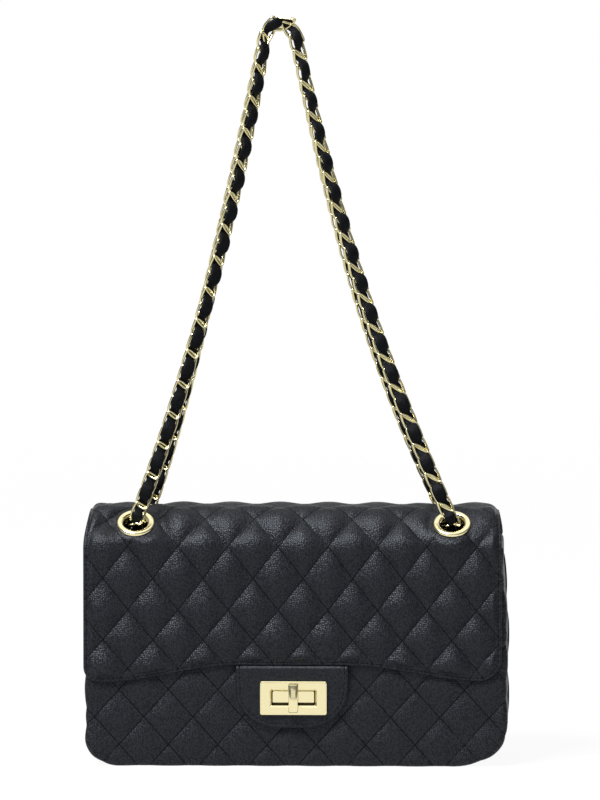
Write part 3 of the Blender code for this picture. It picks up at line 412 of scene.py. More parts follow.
def leather(name, dark, crest, cells, depth, roughness, gloss):
    """Leather with pressed grain, a little shinier on the crests, and with painted shade darkening its colour
    and shine along the stitched lines. The grain is laid out on the flat cut where the mesh keeps it, and in
    space elsewhere."""
    look = bpy.data.materials.new(name)
    look.use_nodes = True
    tree = look.node_tree
    shader = tree.nodes["Principled BSDF"]
    shader.inputs["Specular Tint"].default_value = (*LEATHER_SHEEN, 1.0)
    solid = node(tree, "ShaderNodeTexCoord").outputs["Object"]
    sheet = node(tree, "ShaderNodeAttribute", attribute_name="sheet").outputs["Vector"]
    level = node(tree, "ShaderNodeSeparateXYZ", {0: sheet}).outputs["Z"]
    cut = maths(tree, "GREATER_THAN", level, SHEET_LEVEL / 2)
    place = node(tree, "ShaderNodeMix", {0: cut, 4: solid, 5: sheet}, data_type="VECTOR").outputs[1]
    grain = node(tree, "ShaderNodeGroup", {"Vector": place, "Cells per Metre": cells}, node_tree=PEBBLES)
    grain = grain.outputs
    tones = {0: grain["Crest"], 6: (*dark, 1.0), 7: (*crest, 1.0)}
    tone = node(tree, "ShaderNodeMix", tones, data_type="RGBA").outputs[2]
    # Painted shade: colour and shine are darkened where the mesh's kept shade value is low, along the
    # stitched lines.
    seam_shade = node(tree, "ShaderNodeAttribute", attribute_name="seam_shade").outputs["Fac"]
    crease_shade = eased(tree, seam_shade, -0.05, 0.16, 0.12, 1.0)
    shade = maths(tree, "MULTIPLY", tone, crease_shade, "ShaderNodeVectorMath")
    wear = {0: grain["Cloud"], 1: 0.3, 2: 0.7, 3: roughness - 0.05, 4: roughness + 0.07}
    worn = node(tree, "ShaderNodeMapRange", wear).outputs[0]
    rough = maths(tree, "ADD", worn, maths(tree, "MULTIPLY", grain["Crest"], -0.10))
    polish = node(tree, "ShaderNodeMapRange", {0: grain["Crest"], 3: gloss * 0.60, 4: gloss * 1.04})
    shine = maths(tree, "MULTIPLY", polish.outputs[0], crease_shade)
    bump = node(tree, "ShaderNodeBump", {"Height": grain["Height"], "Strength": 1.0, "Distance": depth})
    tree.links.new(shade, shader.inputs["Base Color"])
    tree.links.new(rough, shader.inputs["Roughness"])
    tree.links.new(shine, shader.inputs["Specular IOR Level"])
    tree.links.new(bump.outputs[0], shader.inputs["Normal"])
    return look


STITCHES = stitch_tree()
CALF = leather("quilted leather", LEATHER_DARK, LEATHER_CREST, 850.0, 0.00015, 0.49, 0.25)
THREAD = leather("black thread", THREAD_BLACK, THREAD_BLACK, 2600.0, 0.00005, 0.70, 0.12)


def stitched(name, runs, place, height, sink=THREAD_SINK, body="bag"):
    """Black thread along runs on a surface, sunk a little into the leather."""
    laid = run_mesh(name + " runs", runs, place, lambda u, v: height(u, v) - sink)
    return add_piece(name, grown(name, laid, STITCHES, {"Thread": THREAD}), THREAD, body)


def seat_of_lock(u, v):
    """1 where the lock's base is let into the front panel, 0 away from it."""
    side = np.maximum(np.abs(u) - SEAT_HALF[0], np.abs(v - LOCK_HEIGHT) - SEAT_HALF[1])
    return 1 - smooth(side, 0.0003, 0.0035)


def body_foot(u):
    return np.full_like(u, BODY_FOOT)


def body_top(u):
    return np.full_like(u, PANEL_TOP)


def narrowed(height):
    """The share of its full width that the body has at a height: it draws in a little under the flap."""
    return 1 - BODY_TAPER / BODY_HALF * smooth(height, 0.080, PANEL_TOP)


def body_panel(sign, corners):
    """Place of a flat body panel, its sides, foot and top rolled back. sign is -1 in front, 1 behind."""
    surface = abs(PANEL_FRONT) - BODY_QUILT["rise"]

    def place(u, v):
        distance, out_u, out_v = edge_distance(u, v, BODY_HALF, body_foot, corners)
        moved, drop = rolled(distance, PANEL_ROLL, PANEL_ROLL - 0.0004)
        up, back = rolled(PANEL_TOP - v, 0.002, 0.0018)
        depth = surface - drop - back
        x = (u + out_u * moved) * narrowed(v)
        return np.stack([-sign * x + BODY_SHIFT, sign * depth, v + out_v * moved + up], axis=1)

    return place


def calm_foot(v):
    """The padding lies flatter along the foot, where it is pulled in to the base."""
    return 0.25 + 0.75 * smooth(v, BODY_FOOT, BODY_FOOT + 0.008)


def front_height(u, v):
    seat = seat_of_lock(u, v)
    return puff(u, v, BODY_QUILT) * calm_foot(v) * (1 - seat) + (BODY_QUILT["rise"] - 0.0009) * seat


FRONT = body_panel(-1, BODY_CORNERS)
front_cut = flat_cut(BODY_QUILT, BODY_HALF, body_foot, body_top, BODY_CORNERS, top_band=TOP_BAND)
front_mesh = leather_mesh("front panel", front_cut, FRONT, front_height, PANEL_SKIN, BODY_QUILT)
front_panel = add_piece("front_panel_leather", front_mesh, CALF, "bag", ["front_panel"])


def front_keep(u, v):
    distance = edge_distance(u, v, BODY_HALF, body_foot, BODY_CORNERS)[0]
    return (distance > 0.001) & (v < PANEL_TOP - 0.002) & (seat_of_lock(u, v) < 0.2)


front_runs = quilt_runs(BODY_QUILT, BODY_HALF, BODY_FOOT, PANEL_TOP, front_keep)
stitched("front_panel_stitches", front_runs, FRONT, front_height)


# The back panel: the same leather, its diamonds running on from the flap's. The flap's pared tail lies flat
# on its top, and a slip pocket with a scooped, bound mouth is sewn on it.
FLAP_DIAMOND = (0.0299, 0.0370)
BACK_QUILT = dict(BODY_QUILT, width=FLAP_DIAMOND[0], height=FLAP_DIAMOND[1], u=-0.00575, v=0.1289)
TAIL_FOOT = 0.1225
POCKET_LOW, POCKET_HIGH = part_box("back_slip_pocket")
POCKET_HALF = POCKET_HIGH.x
POCKET_DIP = 0.016
POCKET_CORNER = (0.018, 0.018)
POCKET_RISE = 0.0011

BACK_CORNERS = (BODY_CORNERS[1], BODY_CORNERS[0])
BACK = body_panel(1, BACK_CORNERS)


def pocket_foot(u):
    return np.full_like(u, POCKET_LOW.z)


def pocket_top(u):
    share = np.clip((u / POCKET_HALF + 1) / 2, 0.0, 1.0)
    return POCKET_HIGH.z - POCKET_DIP * np.abs(np.sin(math.pi * share)) ** 0.75


def behind_pocket(u, v):
    """1 where the slip pocket covers the back, 0 away from it."""
    inside = np.minimum(np.minimum(POCKET_HALF - np.abs(u), v - POCKET_LOW.z), pocket_top(u) - v)
    return smooth(inside, -0.001, 0.002)


def back_height(u, v):
    quilted = puff(u, v, BACK_QUILT) * (1 - smooth(v, TAIL_FOOT - 0.0015, TAIL_FOOT + 0.0015))
    return quilted * calm_foot(v) * (1 - 0.85 * behind_pocket(u, v))


def back_keep(u, v):
    distance = edge_distance(u, v, BODY_HALF, body_foot, BACK_CORNERS)[0]
    return (distance > 0.001) & (v < TAIL_FOOT - 0.001) & (behind_pocket(u, v) < 0.2)


back_cut = flat_cut(BACK_QUILT, BODY_HALF, body_foot, body_top, BACK_CORNERS, top_band=TOP_BAND)
back_mesh = leather_mesh("back panel", back_cut, BACK, back_height, PANEL_SKIN, BACK_QUILT)
back_panel = add_piece("back_panel_leather", back_mesh, CALF, "bag", ["back_panel"])
back_runs = quilt_runs(BACK_QUILT, BODY_HALF, BODY_FOOT, PANEL_TOP, back_keep)
stitched("back_panel_stitches", back_runs, BACK, back_height)

POCKET_QUILT = dict(BACK_QUILT, rise=POCKET_RISE)
POCKET_CORNERS = (POCKET_CORNER, POCKET_CORNER)


def pocket_place(u, v):
    distance, out_u, out_v = edge_distance(u, v, POCKET_HALF, pocket_foot, POCKET_CORNERS)
    moved, drop = rolled(distance, 0.0022, 0.0016)
    depth = POCKET_HIGH.y - POCKET_RISE - drop
    return np.stack([-(u + out_u * moved), depth, v + out_v * moved], axis=1)


def pocket_inside(u, v):
    distance = edge_distance(u, v, POCKET_HALF, pocket_foot, POCKET_CORNERS)[0]
    return np.minimum(distance, pocket_top(u) - v)


def pocket_height(u, v):
    return puff(u, v, POCKET_QUILT) * smooth(pocket_inside(u, v), 0.0022, 0.0050)


pocket_cut = flat_cut(POCKET_QUILT, POCKET_HALF, pocket_foot, pocket_top, POCKET_CORNERS)
pocket_mesh = leather_mesh("slip pocket", pocket_cut, pocket_place, pocket_height, 0.0008, POCKET_QUILT)
pocket = add_piece("slip_pocket_leather", pocket_mesh, CALF, "bag", ["back_slip_pocket"])


def pocket_keep(u, v):
    return pocket_inside(u, v) > 0.0035


def pocket_edge_runs(inset):
    """The runs along the mouth's binding, and down one side, along the foot and up the other side."""
    across = np.linspace(-POCKET_HALF + inset, POCKET_HALF - inset, 260)
    turn = np.linspace(0.0, math.pi / 2, 24)
    round_u = POCKET_HALF - POCKET_CORNER[0] + (POCKET_CORNER[0] - inset) * np.cos(turn)
    round_v = POCKET_LOW.z + POCKET_CORNER[1] - (POCKET_CORNER[1] - inset) * np.sin(turn)
    side_v = np.linspace(POCKET_HIGH.z - inset, round_v[0], 80)[:-1]
    edge_u = np.concatenate([np.full(79, POCKET_HALF - inset), round_u])
    edge_v = np.concatenate([side_v, round_v])
    edge = np.concatenate([edge_u, -edge_u[::-1]]), np.concatenate([edge_v, edge_v[::-1]])
    return [(across, pocket_top(across) - inset), edge]


pocket_runs = quilt_runs(POCKET_QUILT, POCKET_HALF, POCKET_LOW.z, POCKET_HIGH.z, pocket_keep)
pocket_runs += pocket_edge_runs(0.0030)
stitched("slip_pocket_stitches", pocket_runs, pocket_place, pocket_height)


# The gussets: narrow quilted side walls of the same leather, sewn between the panels' rolled edges.
# Each runs down the side, round the lower corner and under to the base, and bellies out a little.
GUSSET_SEAM = 0.0013
GUSSET_HALF = 0.0284
GUSSET_FULL = 0.0010
GUSSET_PEAK = 0.0055
GUSSET_RISE = 0.0012
STRIP_SKIN = 0.0016
STRIP_BAND = (0.0, 0.0008, 0.0016, 0.0024)


def side_wall(side, corner):
    """Place of a gusset, the height of its quilting's nodes and its length up to the panels' tops."""
    turn = np.linspace(0.0, math.pi / 2, 90)
    wide, tall = corner[0] - GUSSET_SEAM, corner[1] - GUSSET_SEAM
    x = np.append(BODY_HALF - corner[0] + wide * np.sin(turn), [BODY_HALF - GUSSET_SEAM] * 2)
    z = np.append(BODY_FOOT + corner[1] - tall * np.cos(turn), [PANEL_TOP, PANEL_TOP + 0.03])
    length = np.append(0.0, np.cumsum(np.hypot(np.diff(x), np.diff(z))))
    out = np.append(turn, [math.pi / 2] * 2)
    end = np.interp(PANEL_TOP, z, length)

    def place(u, v):
        heading = np.interp(v, length, out)
        up, back = rolled(end + GUSSET_PEAK * (1 - (u / GUSSET_HALF) ** 2) - v, 0.002, 0.0018)
        lift = GUSSET_FULL * (1 - (u / GUSSET_HALF) ** 2) - back
        across = np.interp(v, length, x) + np.sin(heading) * lift
        rise = np.interp(v, length, z) - np.cos(heading) * lift + up
        return np.stack([side * across * narrowed(rise) + BODY_SHIFT, side * u, rise], axis=1)

    return place, np.interp(BODY_QUILT["v"] + BODY_QUILT["height"], z, length), end


def strip_foot(u):
    return np.zeros_like(u)


def add_gusset(name, side, corner):
    place, node_height, end = side_wall(side, corner)
    quilt = dict(BODY_QUILT, u=0.0, v=node_height, rise=GUSSET_RISE)

    def height(u, v):
        return puff(u, v, quilt)

    def top(u):
        return end + GUSSET_PEAK * (1 - (u / GUSSET_HALF) ** 2)

    def keep(u, v):
        return (v > 0.0) & (v < top(u) - 0.002) & (np.abs(u) < GUSSET_HALF - 0.002)

    cut = flat_cut(quilt, GUSSET_HALF, strip_foot, top, (), (0.0,), STRIP_BAND, TOP_BAND)
    mesh = leather_mesh(name, cut, place, height, STRIP_SKIN, quilt)
    add_piece(name + "_leather", mesh, CALF, "bag", [name])
    runs = quilt_runs(quilt, GUSSET_HALF, 0.0, end + GUSSET_PEAK, keep)
    stitched(name + "_stitches", runs, place, height)


add_gusset("gusset_left", -1, BODY_CORNERS[0])
add_gusset("gusset_right", 1, BODY_CORNERS[1])


# The base: a quilted strip of the same leather that the bag stands on. It is sewn on between the ends of
# the gussets and to the feet of the two panels, whose rolled edges stand round it.
BASE_ENDS = (-BODY_HALF + BODY_CORNERS[0][0], BODY_HALF - BODY_CORNERS[1][0])
BASE_HALF = (BASE_ENDS[1] - BASE_ENDS[0]) / 2
BASE_MIDDLE = (BASE_ENDS[1] + BASE_ENDS[0]) / 2
BASE_QUILT = dict(BODY_QUILT, u=BODY_QUILT["u"] - BASE_MIDDLE, v=0.0, rise=0.0011)


def base_place(u, v):
    lift = 0.0003 * (1 - (v / GUSSET_HALF) ** 2)
    return np.stack([u + BASE_MIDDLE + BODY_SHIFT, -v, BODY_FOOT + GUSSET_SEAM - lift], axis=1)


def base_height(u, v):
    return puff(u, v, BASE_QUILT)


def base_keep(u, v):
    return (np.abs(v) < GUSSET_HALF - 0.002) & (np.abs(u) < BASE_HALF - 0.001)


base_cut = flat_cut(
    BASE_QUILT, BASE_HALF, lambda u: np.full_like(u, -GUSSET_HALF), lambda u: np.full_like(u, GUSSET_HALF),
    (), STRIP_BAND, STRIP_BAND, STRIP_BAND,
)
base_mesh = leather_mesh("base", base_cut, base_place, base_height, STRIP_SKIN, BASE_QUILT)
add_piece("base_leather", base_mesh, CALF, "bag", ["base_panel"])
base_runs = quilt_runs(BASE_QUILT, BASE_HALF, -GUSSET_HALF, GUSSET_HALF, base_keep)
stitched("base_stitches", base_runs, base_place, base_height)


# The base board: grey fibre board, cut to the base's size and laid inside it under the lining. It keeps
# the bottom flat and is never seen.
BOARD_GREY = (0.27, 0.25, 0.21)


def board_look():
    look = bpy.data.materials.new("fibre board")
    look.use_nodes = True
    tree = look.node_tree
    place = node(tree, "ShaderNodeTexCoord").outputs["Object"]
    fibres = node(tree, "ShaderNodeTexNoise", {"Vector": place, "Scale": 900.0, "Detail": 4.0}).outputs[0]
    tone = node(tree, "ShaderNodeMapRange", {0: fibres, 1: 0.3, 2: 0.7, 3: 0.7, 4: 1.15}).outputs[0]
    colour = maths(tree, "MULTIPLY", BOARD_GREY, tone, "ShaderNodeVectorMath")
    shader = tree.nodes["Principled BSDF"]
    shader.inputs["Roughness"].default_value = 0.85
    tree.links.new(colour, shader.inputs["Base Color"])
    return look


def dress(name, look):
    """Gives a CAD node that stays in sight its material."""
    shown = frame["nodes"][name]
    shown.data.materials.clear()
    shown.data.materials.append(look)


dress("base_board", board_look())


# The lining: a soft bag of thin smooth black leather inside the quilted walls, with a facing of the same
# leather folded round the mouth, and a slip pocket sewn on its back wall.
LINING_DARK = (0.0085, 0.0085, 0.0095)
LINING_CREST = (0.0150, 0.0150, 0.0160)
LINING = leather("lining leather", LINING_DARK, LINING_CREST, 1500.0, 0.00008, 0.56, 0.30)
LINING_LOW, LINING_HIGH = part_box("lining")
FACING_LOW, FACING_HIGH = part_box("mouth_facing")
INNER_LOW, INNER_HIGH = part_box("inner_pocket")
LINING_SKIN = 0.0008


def round_box_ring(half_x, half_y, radius, height, steps=7):
    """Points round an upright box's section with rounded corners."""
    ring = []
    for quarter, (x, y) in enumerate(((1, 1), (-1, 1), (-1, -1), (1, -1))):
        for step in range(steps + 1):
            angle = math.pi / 2 * (quarter + step / steps)
            ring.append((
                x * (half_x - radius) + radius * math.cos(angle),
                y * (half_y - radius) + radius * math.sin(angle),
                height,
            ))
    return ring


def ring_mesh(name, rings, closed=False):
    """A skin over rings of equal count. The ends are capped, or the last ring meets the first."""
    count = len(rings[0])
    mesh = bpy.data.meshes.new(name)
    faces = []
    pairs = list(zip(range(len(rings) - 1), range(1, len(rings))))
    if closed:
        pairs.append((len(rings) - 1, 0))
    for low, high in pairs:
        low, high = low * count, high * count
        for index in range(count):
            after = (index + 1) % count
            faces.append((low + index, low + after, high + after, high + index))
    if not closed:
        faces.append(tuple(range(count - 1, -1, -1)))
        faces.append(tuple((len(rings) - 1) * count + index for index in range(count)))
    mesh.from_pydata([point for ring in rings for point in ring], [], faces)
    work = bmesh.new()
    work.from_mesh(mesh)
    bmesh.ops.recalc_face_normals(work, faces=work.faces)
    work.to_mesh(mesh)
    work.free()
    mesh.shade_smooth()
    return mesh


def sharpened(mesh, angle=math.radians(35)):
    """Keeps edges sharper than the angle crisp."""
    mesh.set_sharp_from_angle(angle=angle)
    return mesh


def lining_ring(height, inset):
    corner_x = 0.018
    corner_y = 0.005
    below_x = max(LINING_LOW.z + corner_x - height, 0.0) / corner_x
    below_y = max(LINING_LOW.z + corner_y - height, 0.0) / corner_y
    half_x = LINING_HIGH.x - corner_x * (1 - math.sqrt(max(1 - below_x**2, 0.0))) - inset
    half_y = LINING_HIGH.y - corner_y * (1 - math.sqrt(max(1 - below_y**2, 0.0))) - inset
    return round_box_ring(half_x, half_y, 0.004, height + (inset if height < 0.01 else 0.0))


levels = [LINING_LOW.z + rise for rise in (0.0, 0.0003, 0.001, 0.002, 0.0035, 0.005, 0.008, 0.012, 0.018)]
levels += list(np.linspace(0.036, LINING_HIGH.z, 10))
lining_rings = [lining_ring(level, 0.0) for level in levels]
lining_rings += [lining_ring(level, LINING_SKIN) for level in reversed(levels)]
lining_mesh = ring_mesh("lining bag", lining_rings)
add_piece("lining_bag", lining_mesh, LINING, "bag", ["lining"])

facing_rings = []
fold = FACING_HIGH.z
for out, height in (
    (0.0, FACING_LOW.z), (0.0, fold - 0.0006), (0.00015, fold - 0.0002), (0.0004, fold),
    (0.00065, fold - 0.0002), (0.0008, fold - 0.0006), (0.0008, FACING_LOW.z),
):
    facing_rings.append(round_box_ring(FACING_HIGH.x - out, FACING_HIGH.y - out, 0.0038, height))
facing_mesh = ring_mesh("mouth facing", facing_rings, closed=True)
add_piece("mouth_facing_leather", facing_mesh, LINING, "bag", ["mouth_facing"])

PLAIN_GRID = {"width": 0.040, "height": 0.040, "u": 0.0, "v": 0.0, "swell": 2.0, "rise": 0.0}


def inner_place(u, v):
    sag = 0.0004 * smooth(v, INNER_HIGH.z - 0.02, INNER_HIGH.z) * np.cos(u / INNER_HIGH.x * math.pi / 2)
    return np.stack([u, INNER_LOW.y + 0.0001 - sag, v], axis=1)


def no_height(u, v):
    return np.zeros_like(u)


inner_cut = flat_cut(
    PLAIN_GRID, INNER_HIGH.x, lambda u: np.full_like(u, INNER_LOW.z), lambda u: np.full_like(u, INNER_HIGH.z),
    ((0.010, 0.010), (0.010, 0.010)), (0.0, 0.0006), (0.0, 0.0006), (0.0, 0.0006),
)
inner_mesh = leather_mesh("inner pocket", inner_cut, inner_place, no_height, LINING_SKIN)
add_piece("inner_pocket_leather", inner_mesh, LINING, "bag", ["inner_pocket"])


# The flap: one quilted piece that is sewn on the back's top, runs over the shoulder and down the front.
# Foam behind the leather rounds the shoulder, and it lies flat only where the eyelets clamp it.
SHOULDER_START = 0.13215
SHOULDER_RADIUS = 0.008
SEAT_LENGTH = 0.021
TOP_LENGTH = 0.0231
FLAP_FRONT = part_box("flap_outer")[0].y
FLAP_HALF = 0.1250
FLAP_CORNERS = ((0.0085, 0.0085), (0.0130, 0.0140))
FLAP_SINK = 0.0019
FLAP_SKIN = 0.0009
FLAP_RISE = 0.0031
SHOULDER_BULGE = 0.0021
TOP_CALM = 0.65
EYELET_SEAT = 0.0116
EYELET_HOLE = 0.0090
EYELET_TILT = math.radians(10)
BORDER = 0.0016
FLAP_END = 0.2316
TAIL_SEAM = 0.2262
PULLED = (0.0592, 0.1332, 0.0016)
LEFT_SIDE, RIGHT_SIDE = 0.1251, 0.1238
LEFT_DRAW, RIGHT_DRAW = 0.0030, 0.0024
EDGE_ROLL, EDGE_DROP = 0.0022, 0.0018
TOP_ROLL, TOP_DROP = 0.0045, 0.0029

pulled_rows = np.linspace(0.0, 0.3, 3001)
sag_share = np.clip((pulled_rows - PULLED[0]) / (PULLED[1] - PULLED[0]), 0.0, 1.0)
pulled_to = pulled_rows - PULLED[2] * np.sin(math.pi * sag_share)
FLAP_QUILT = {
    "width": FLAP_DIAMOND[0], "height": FLAP_DIAMOND[1], "u": -0.0092, "v": 0.0592, "swell": 2.2,
    "rise": FLAP_RISE, "place": lambda row: np.interp(row, pulled_rows, pulled_to),
    "pull": lambda row: np.interp(row, pulled_to, pulled_rows),
}

bends = np.cumsum([
    SHOULDER_START, SHOULDER_RADIUS * math.pi / 4, SEAT_LENGTH, SHOULDER_RADIUS * math.pi / 4, TOP_LENGTH,
    SHOULDER_RADIUS * math.pi / 4, SEAT_LENGTH, SHOULDER_RADIUS * math.pi / 4, 0.05,
])
section_v = np.linspace(0.0, bends[-1], 6001)
section_turn = np.interp(section_v, bends, np.radians([0, 45, 45, 90, 90, 135, 135, 180, 180]))
section_step = section_v[1] - section_v[0]
FLAP_MIDDLE = (bends[3] + bends[4]) / 2


def section_of(turn):
    """Depths and heights along the flap's section for its turn at each place."""
    middle_turn = (turn[1:] + turn[:-1]) / 2
    y = FLAP_FRONT + np.append(0.0, np.cumsum(np.sin(middle_turn))) * section_step
    return y, np.append(0.0, np.cumsum(np.cos(middle_turn))) * section_step


def softened(turn):
    """The same bends, eased into each other as foam eases them."""
    count = int(0.011 / section_step)
    for _ in range(2):
        ends = np.concatenate([np.full(count, turn[0]), turn, np.full(count, turn[-1])])
        turn = np.convolve(ends, np.full(count, 1 / count), "same")[count:-count]
    return turn


section_y, section_z = section_of(section_turn)
soft_turn = softened(section_turn)
soft_y, soft_z = section_of(soft_turn)
over_top = smooth(section_v, FLAP_MIDDLE - 0.010, FLAP_MIDDLE + 0.010)
soft_y += (section_y[-1] - soft_y[-1]) * over_top
soft_z += (section_z[-1] - soft_z[-1]) * over_top


def flap_foot(u):
    """The lower edge: level behind the tongue and lower towards the corners, a little more so on the left."""
    drop = np.where(u < 0, 0.0103, 0.0091)
    return 0.0617 - drop * smooth(np.abs(u), 0.034, 0.113)


def near_eyelet(u, v):
    """Distance along the leather to the nearest eyelet's middle."""
    away = [np.hypot(np.abs(u) - EYELET_X[front], v - EYELET_ROWS[front]) for front in (True, False)]
    return np.minimum(*away)


def seat_share(u, v):
    """1 on the flat seat round each eyelet, 0 well away from it."""
    return 1 - smooth(near_eyelet(u, v), EYELET_SEAT, EYELET_SEAT + 0.0045)


def flat_share(u, v):
    """1 where the flap keeps its sewn section, by the eyelets and at the tail, and 0 where foam eases it."""
    return np.maximum(1 - smooth(near_eyelet(u, v), 0.0120, 0.0280), smooth(v, 0.2120, 0.2200))


def bulge(u, v):
    """Foam's fullness over the shoulder, none near an eyelet."""
    out = np.abs(v - FLAP_MIDDLE)
    full = np.sin(math.pi * np.clip((out - 0.0050) / 0.0440, 0.0, 1.0)) ** 2
    return SHOULDER_BULGE * full * smooth(near_eyelet(u, v), 0.0125, 0.027)


def eyelet_tilt(u, v):
    """How far the leather is tipped out below an eyelet's middle, and in above it."""
    below = np.where(v < FLAP_MIDDLE, EYELET_ROWS[True] - v, v - EYELET_ROWS[False])
    return math.tan(EYELET_TILT) * below * (1 - smooth(near_eyelet(u, v), 0.0115, 0.0210))


EYELETS = {
    "eyelet_front_left": (-1, True), "eyelet_front_right": (1, True),
    "eyelet_rear_left": (-1, False), "eyelet_rear_right": (1, False),
}
EYELET_ROWS = {True: bends[1] + SEAT_LENGTH / 2, False: bends[5] + SEAT_LENGTH / 2}
EYELET_X = {}
EYELET_MIDDLES = {}
for name, (side, front) in EYELETS.items():
    low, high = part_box(name)
    EYELET_X[front] = abs(low.x + high.x) / 2
    row = EYELET_ROWS[front]
    seat_y, seat_z = np.interp(row, section_v, section_y), np.interp(row, section_v, section_z)
    EYELET_MIDDLES[name] = Vector(((low.x + high.x) / 2, float(seat_y), float(seat_z)))
SEAT_AXES = {True: Vector((0.0, -1.0, 1.0)) * math.sqrt(0.5), False: Vector((0.0, 1.0, 1.0)) * math.sqrt(0.5)}
lean = math.pi / 4 - EYELET_TILT
RING_AXES = {
    True: Vector((0.0, -math.sin(lean), math.cos(lean))),
    False: Vector((0.0, math.sin(lean), math.cos(lean))),
}


def flap_place(depth=0.0):
    """Place of a layer of the flap at a depth under its skin."""

    def place(u, v):
        distance, out_u, out_v = edge_distance(u, v, FLAP_HALF, flap_foot, FLAP_CORNERS)
        over = 1 - smooth(np.abs(v - FLAP_MIDDLE), 0.014, 0.046)
        radius = EDGE_ROLL + TOP_ROLL * over
        moved, drop = rolled(distance, radius, EDGE_DROP + TOP_DROP * over)
        v = v + out_v * moved
        left, right = LEFT_SIDE - LEFT_DRAW * over, RIGHT_SIDE - RIGHT_DRAW * over
        x = (u + out_u * moved) * np.where(u < 0, left, right) / FLAP_HALF
        flat = flat_share(u, v)
        turn = np.interp(v, section_v, section_turn) * flat + np.interp(v, section_v, soft_turn) * (1 - flat)
        tail = smooth(v, 0.2190, 0.2232)
        lift = bulge(u, v) + eyelet_tilt(u, v) - drop - depth - FLAP_SINK * (1 - 0.91 * tail)
        y = np.interp(v, section_v, section_y) * flat + np.interp(v, section_v, soft_y) * (1 - flat)
        z = np.interp(v, section_v, section_z) * flat + np.interp(v, section_v, soft_z) * (1 - flat)
        y = y - np.cos(turn) * lift
        z = z + np.sin(turn) * lift
        return np.stack([x, y, z], axis=1)

    return place


def flap_height(u, v):
    distance = edge_distance(u, v, FLAP_HALF, flap_foot, FLAP_CORNERS)[0]
    seat = seat_share(u, v)
    tail = smooth(v, 0.2185, 0.2225)
    level = 1 - TOP_CALM * (1 - smooth(np.abs(v - FLAP_MIDDLE), 0.010, 0.024))
    edge = smooth(distance, BORDER, BORDER + 0.0034)
    quilted = puff(u, v, FLAP_QUILT) * edge * (1 - seat) * (1 - tail) * level
    bead = 0.0009 * np.clip(1 - ((distance - BORDER / 2) / (BORDER / 2)) ** 2, 0.0, 1.0) * (1 - tail)
    return quilted + bead + seat * FLAP_SINK


def flap_gone(u, v, middle):
    gone = np.zeros(len(middle), bool)
    for name, (side, front) in EYELETS.items():
        reach = middle - np.array(EYELET_MIDDLES[name])
        depth = reach @ np.array(SEAT_AXES[front])
        away = np.linalg.norm(reach - depth[:, None] * np.array(SEAT_AXES[front]), axis=1)
        gone |= (away < EYELET_HOLE) & (np.abs(depth) < 0.006)
    return gone


def flap_skin(u, v):
    return FLAP_SKIN + 0.0004 * smooth(v, 0.2175, 0.2230)


FLAP = flap_place()
FLAP_BAND = (0.0, 0.0003, 0.0006, 0.0010, 0.0013, 0.0016, 0.0019, 0.0023, 0.0029, 0.0037, 0.0048)
flap_cut = flat_cut(
    FLAP_QUILT, FLAP_HALF, flap_foot, lambda u: np.full_like(u, FLAP_END), FLAP_CORNERS, FLAP_BAND, FLAP_BAND,
)


# The flap's leather is darkened as painted shade along the stitched line inside its edge.
def flap_line(u, v):
    distance = edge_distance(u, v, FLAP_HALF, flap_foot, FLAP_CORNERS)[0]
    return np.abs(distance - BORDER) + 0.0002


flap_mesh = leather_mesh("flap", flap_cut, FLAP, flap_height, flap_skin, FLAP_QUILT, flap_gone, flap_line)
flap = add_piece("flap_leather", flap_mesh, CALF, None, ["flap_outer"])


def flap_keep(u, v):
    distance = edge_distance(u, v, FLAP_HALF, flap_foot, FLAP_CORNERS)[0]
    return (distance > BORDER) & (v < 0.2215) & (seat_share(u, v) < 0.3)


def inside_line(half, foot, corners, inset, top):
    """A run round the two sides and the foot of a cut, a given distance inside its edge."""
    turn = np.linspace(0.0, math.pi / 2, 30)
    (wide_l, tall_l), (wide_r, tall_r) = corners
    low_l, low_r = foot(np.array([-half]))[0], foot(np.array([half]))[0]
    u_l = -half + wide_l - (wide_l - inset) * np.cos(turn)
    v_l = low_l + tall_l - (tall_l - inset) * np.sin(turn)
    u_r = half - wide_r + (wide_r - inset) * np.sin(turn)
    v_r = low_r + tall_r - (tall_r - inset) * np.cos(turn)
    across = np.linspace(u_l[-1], u_r[0], 220)[1:-1]
    side_l = np.linspace(top, v_l[0], 120)[:-1]
    side_r = np.linspace(v_r[-1], top, 120)[1:]
    u = np.concatenate([np.full(119, -half + inset), u_l, across, u_r, np.full(119, half - inset)])
    v = np.concatenate([side_l, v_l, foot(across) + inset, v_r, side_r])
    return u, v


flap_runs = quilt_runs(FLAP_QUILT, FLAP_HALF, 0.045, FLAP_END, flap_keep)
flap_runs.append(inside_line(FLAP_HALF, flap_foot, FLAP_CORNERS, BORDER + 0.0001, 0.2225))
tail_across = np.linspace(-FLAP_HALF + 0.003, FLAP_HALF - 0.003, 260)
for row in (FLAP_END - 0.0022, TAIL_SEAM):
    flap_runs.append((tail_across, np.full(260, row)))
flap_stitches = stitched("flap_stitches", flap_runs, FLAP, flap_height, body=None)


# The flap's lining: thin smooth leather, cut a little smaller than the flap and sewn to its inside. It is
# holed for the eyelets, and bends with the flap along the back's top edge.
LINING_MARGIN = 0.002
LINING_DEPTH = 0.0029 - FLAP_SINK
flap_lining_cut = flat_cut(
    dict(PLAIN_GRID, width=0.060, height=0.050), FLAP_HALF - LINING_MARGIN,
    lambda u: flap_foot(u) + LINING_MARGIN, lambda u: np.full_like(u, TAIL_SEAM),
    FLAP_CORNERS, (0.0, 0.0008), (0.0, 0.0015, 0.003, 0.0045, 0.006),
)
under = flap_place(LINING_DEPTH)
lining_mesh = leather_mesh("flap lining", flap_lining_cut, under, no_height, LINING_SKIN, None, flap_gone)
flap_lining = add_piece("flap_lining_leather", lining_mesh, LINING, None, ["flap_lining"])
for bent in (flap, flap_stitches, flap_lining):
    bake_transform(bent)


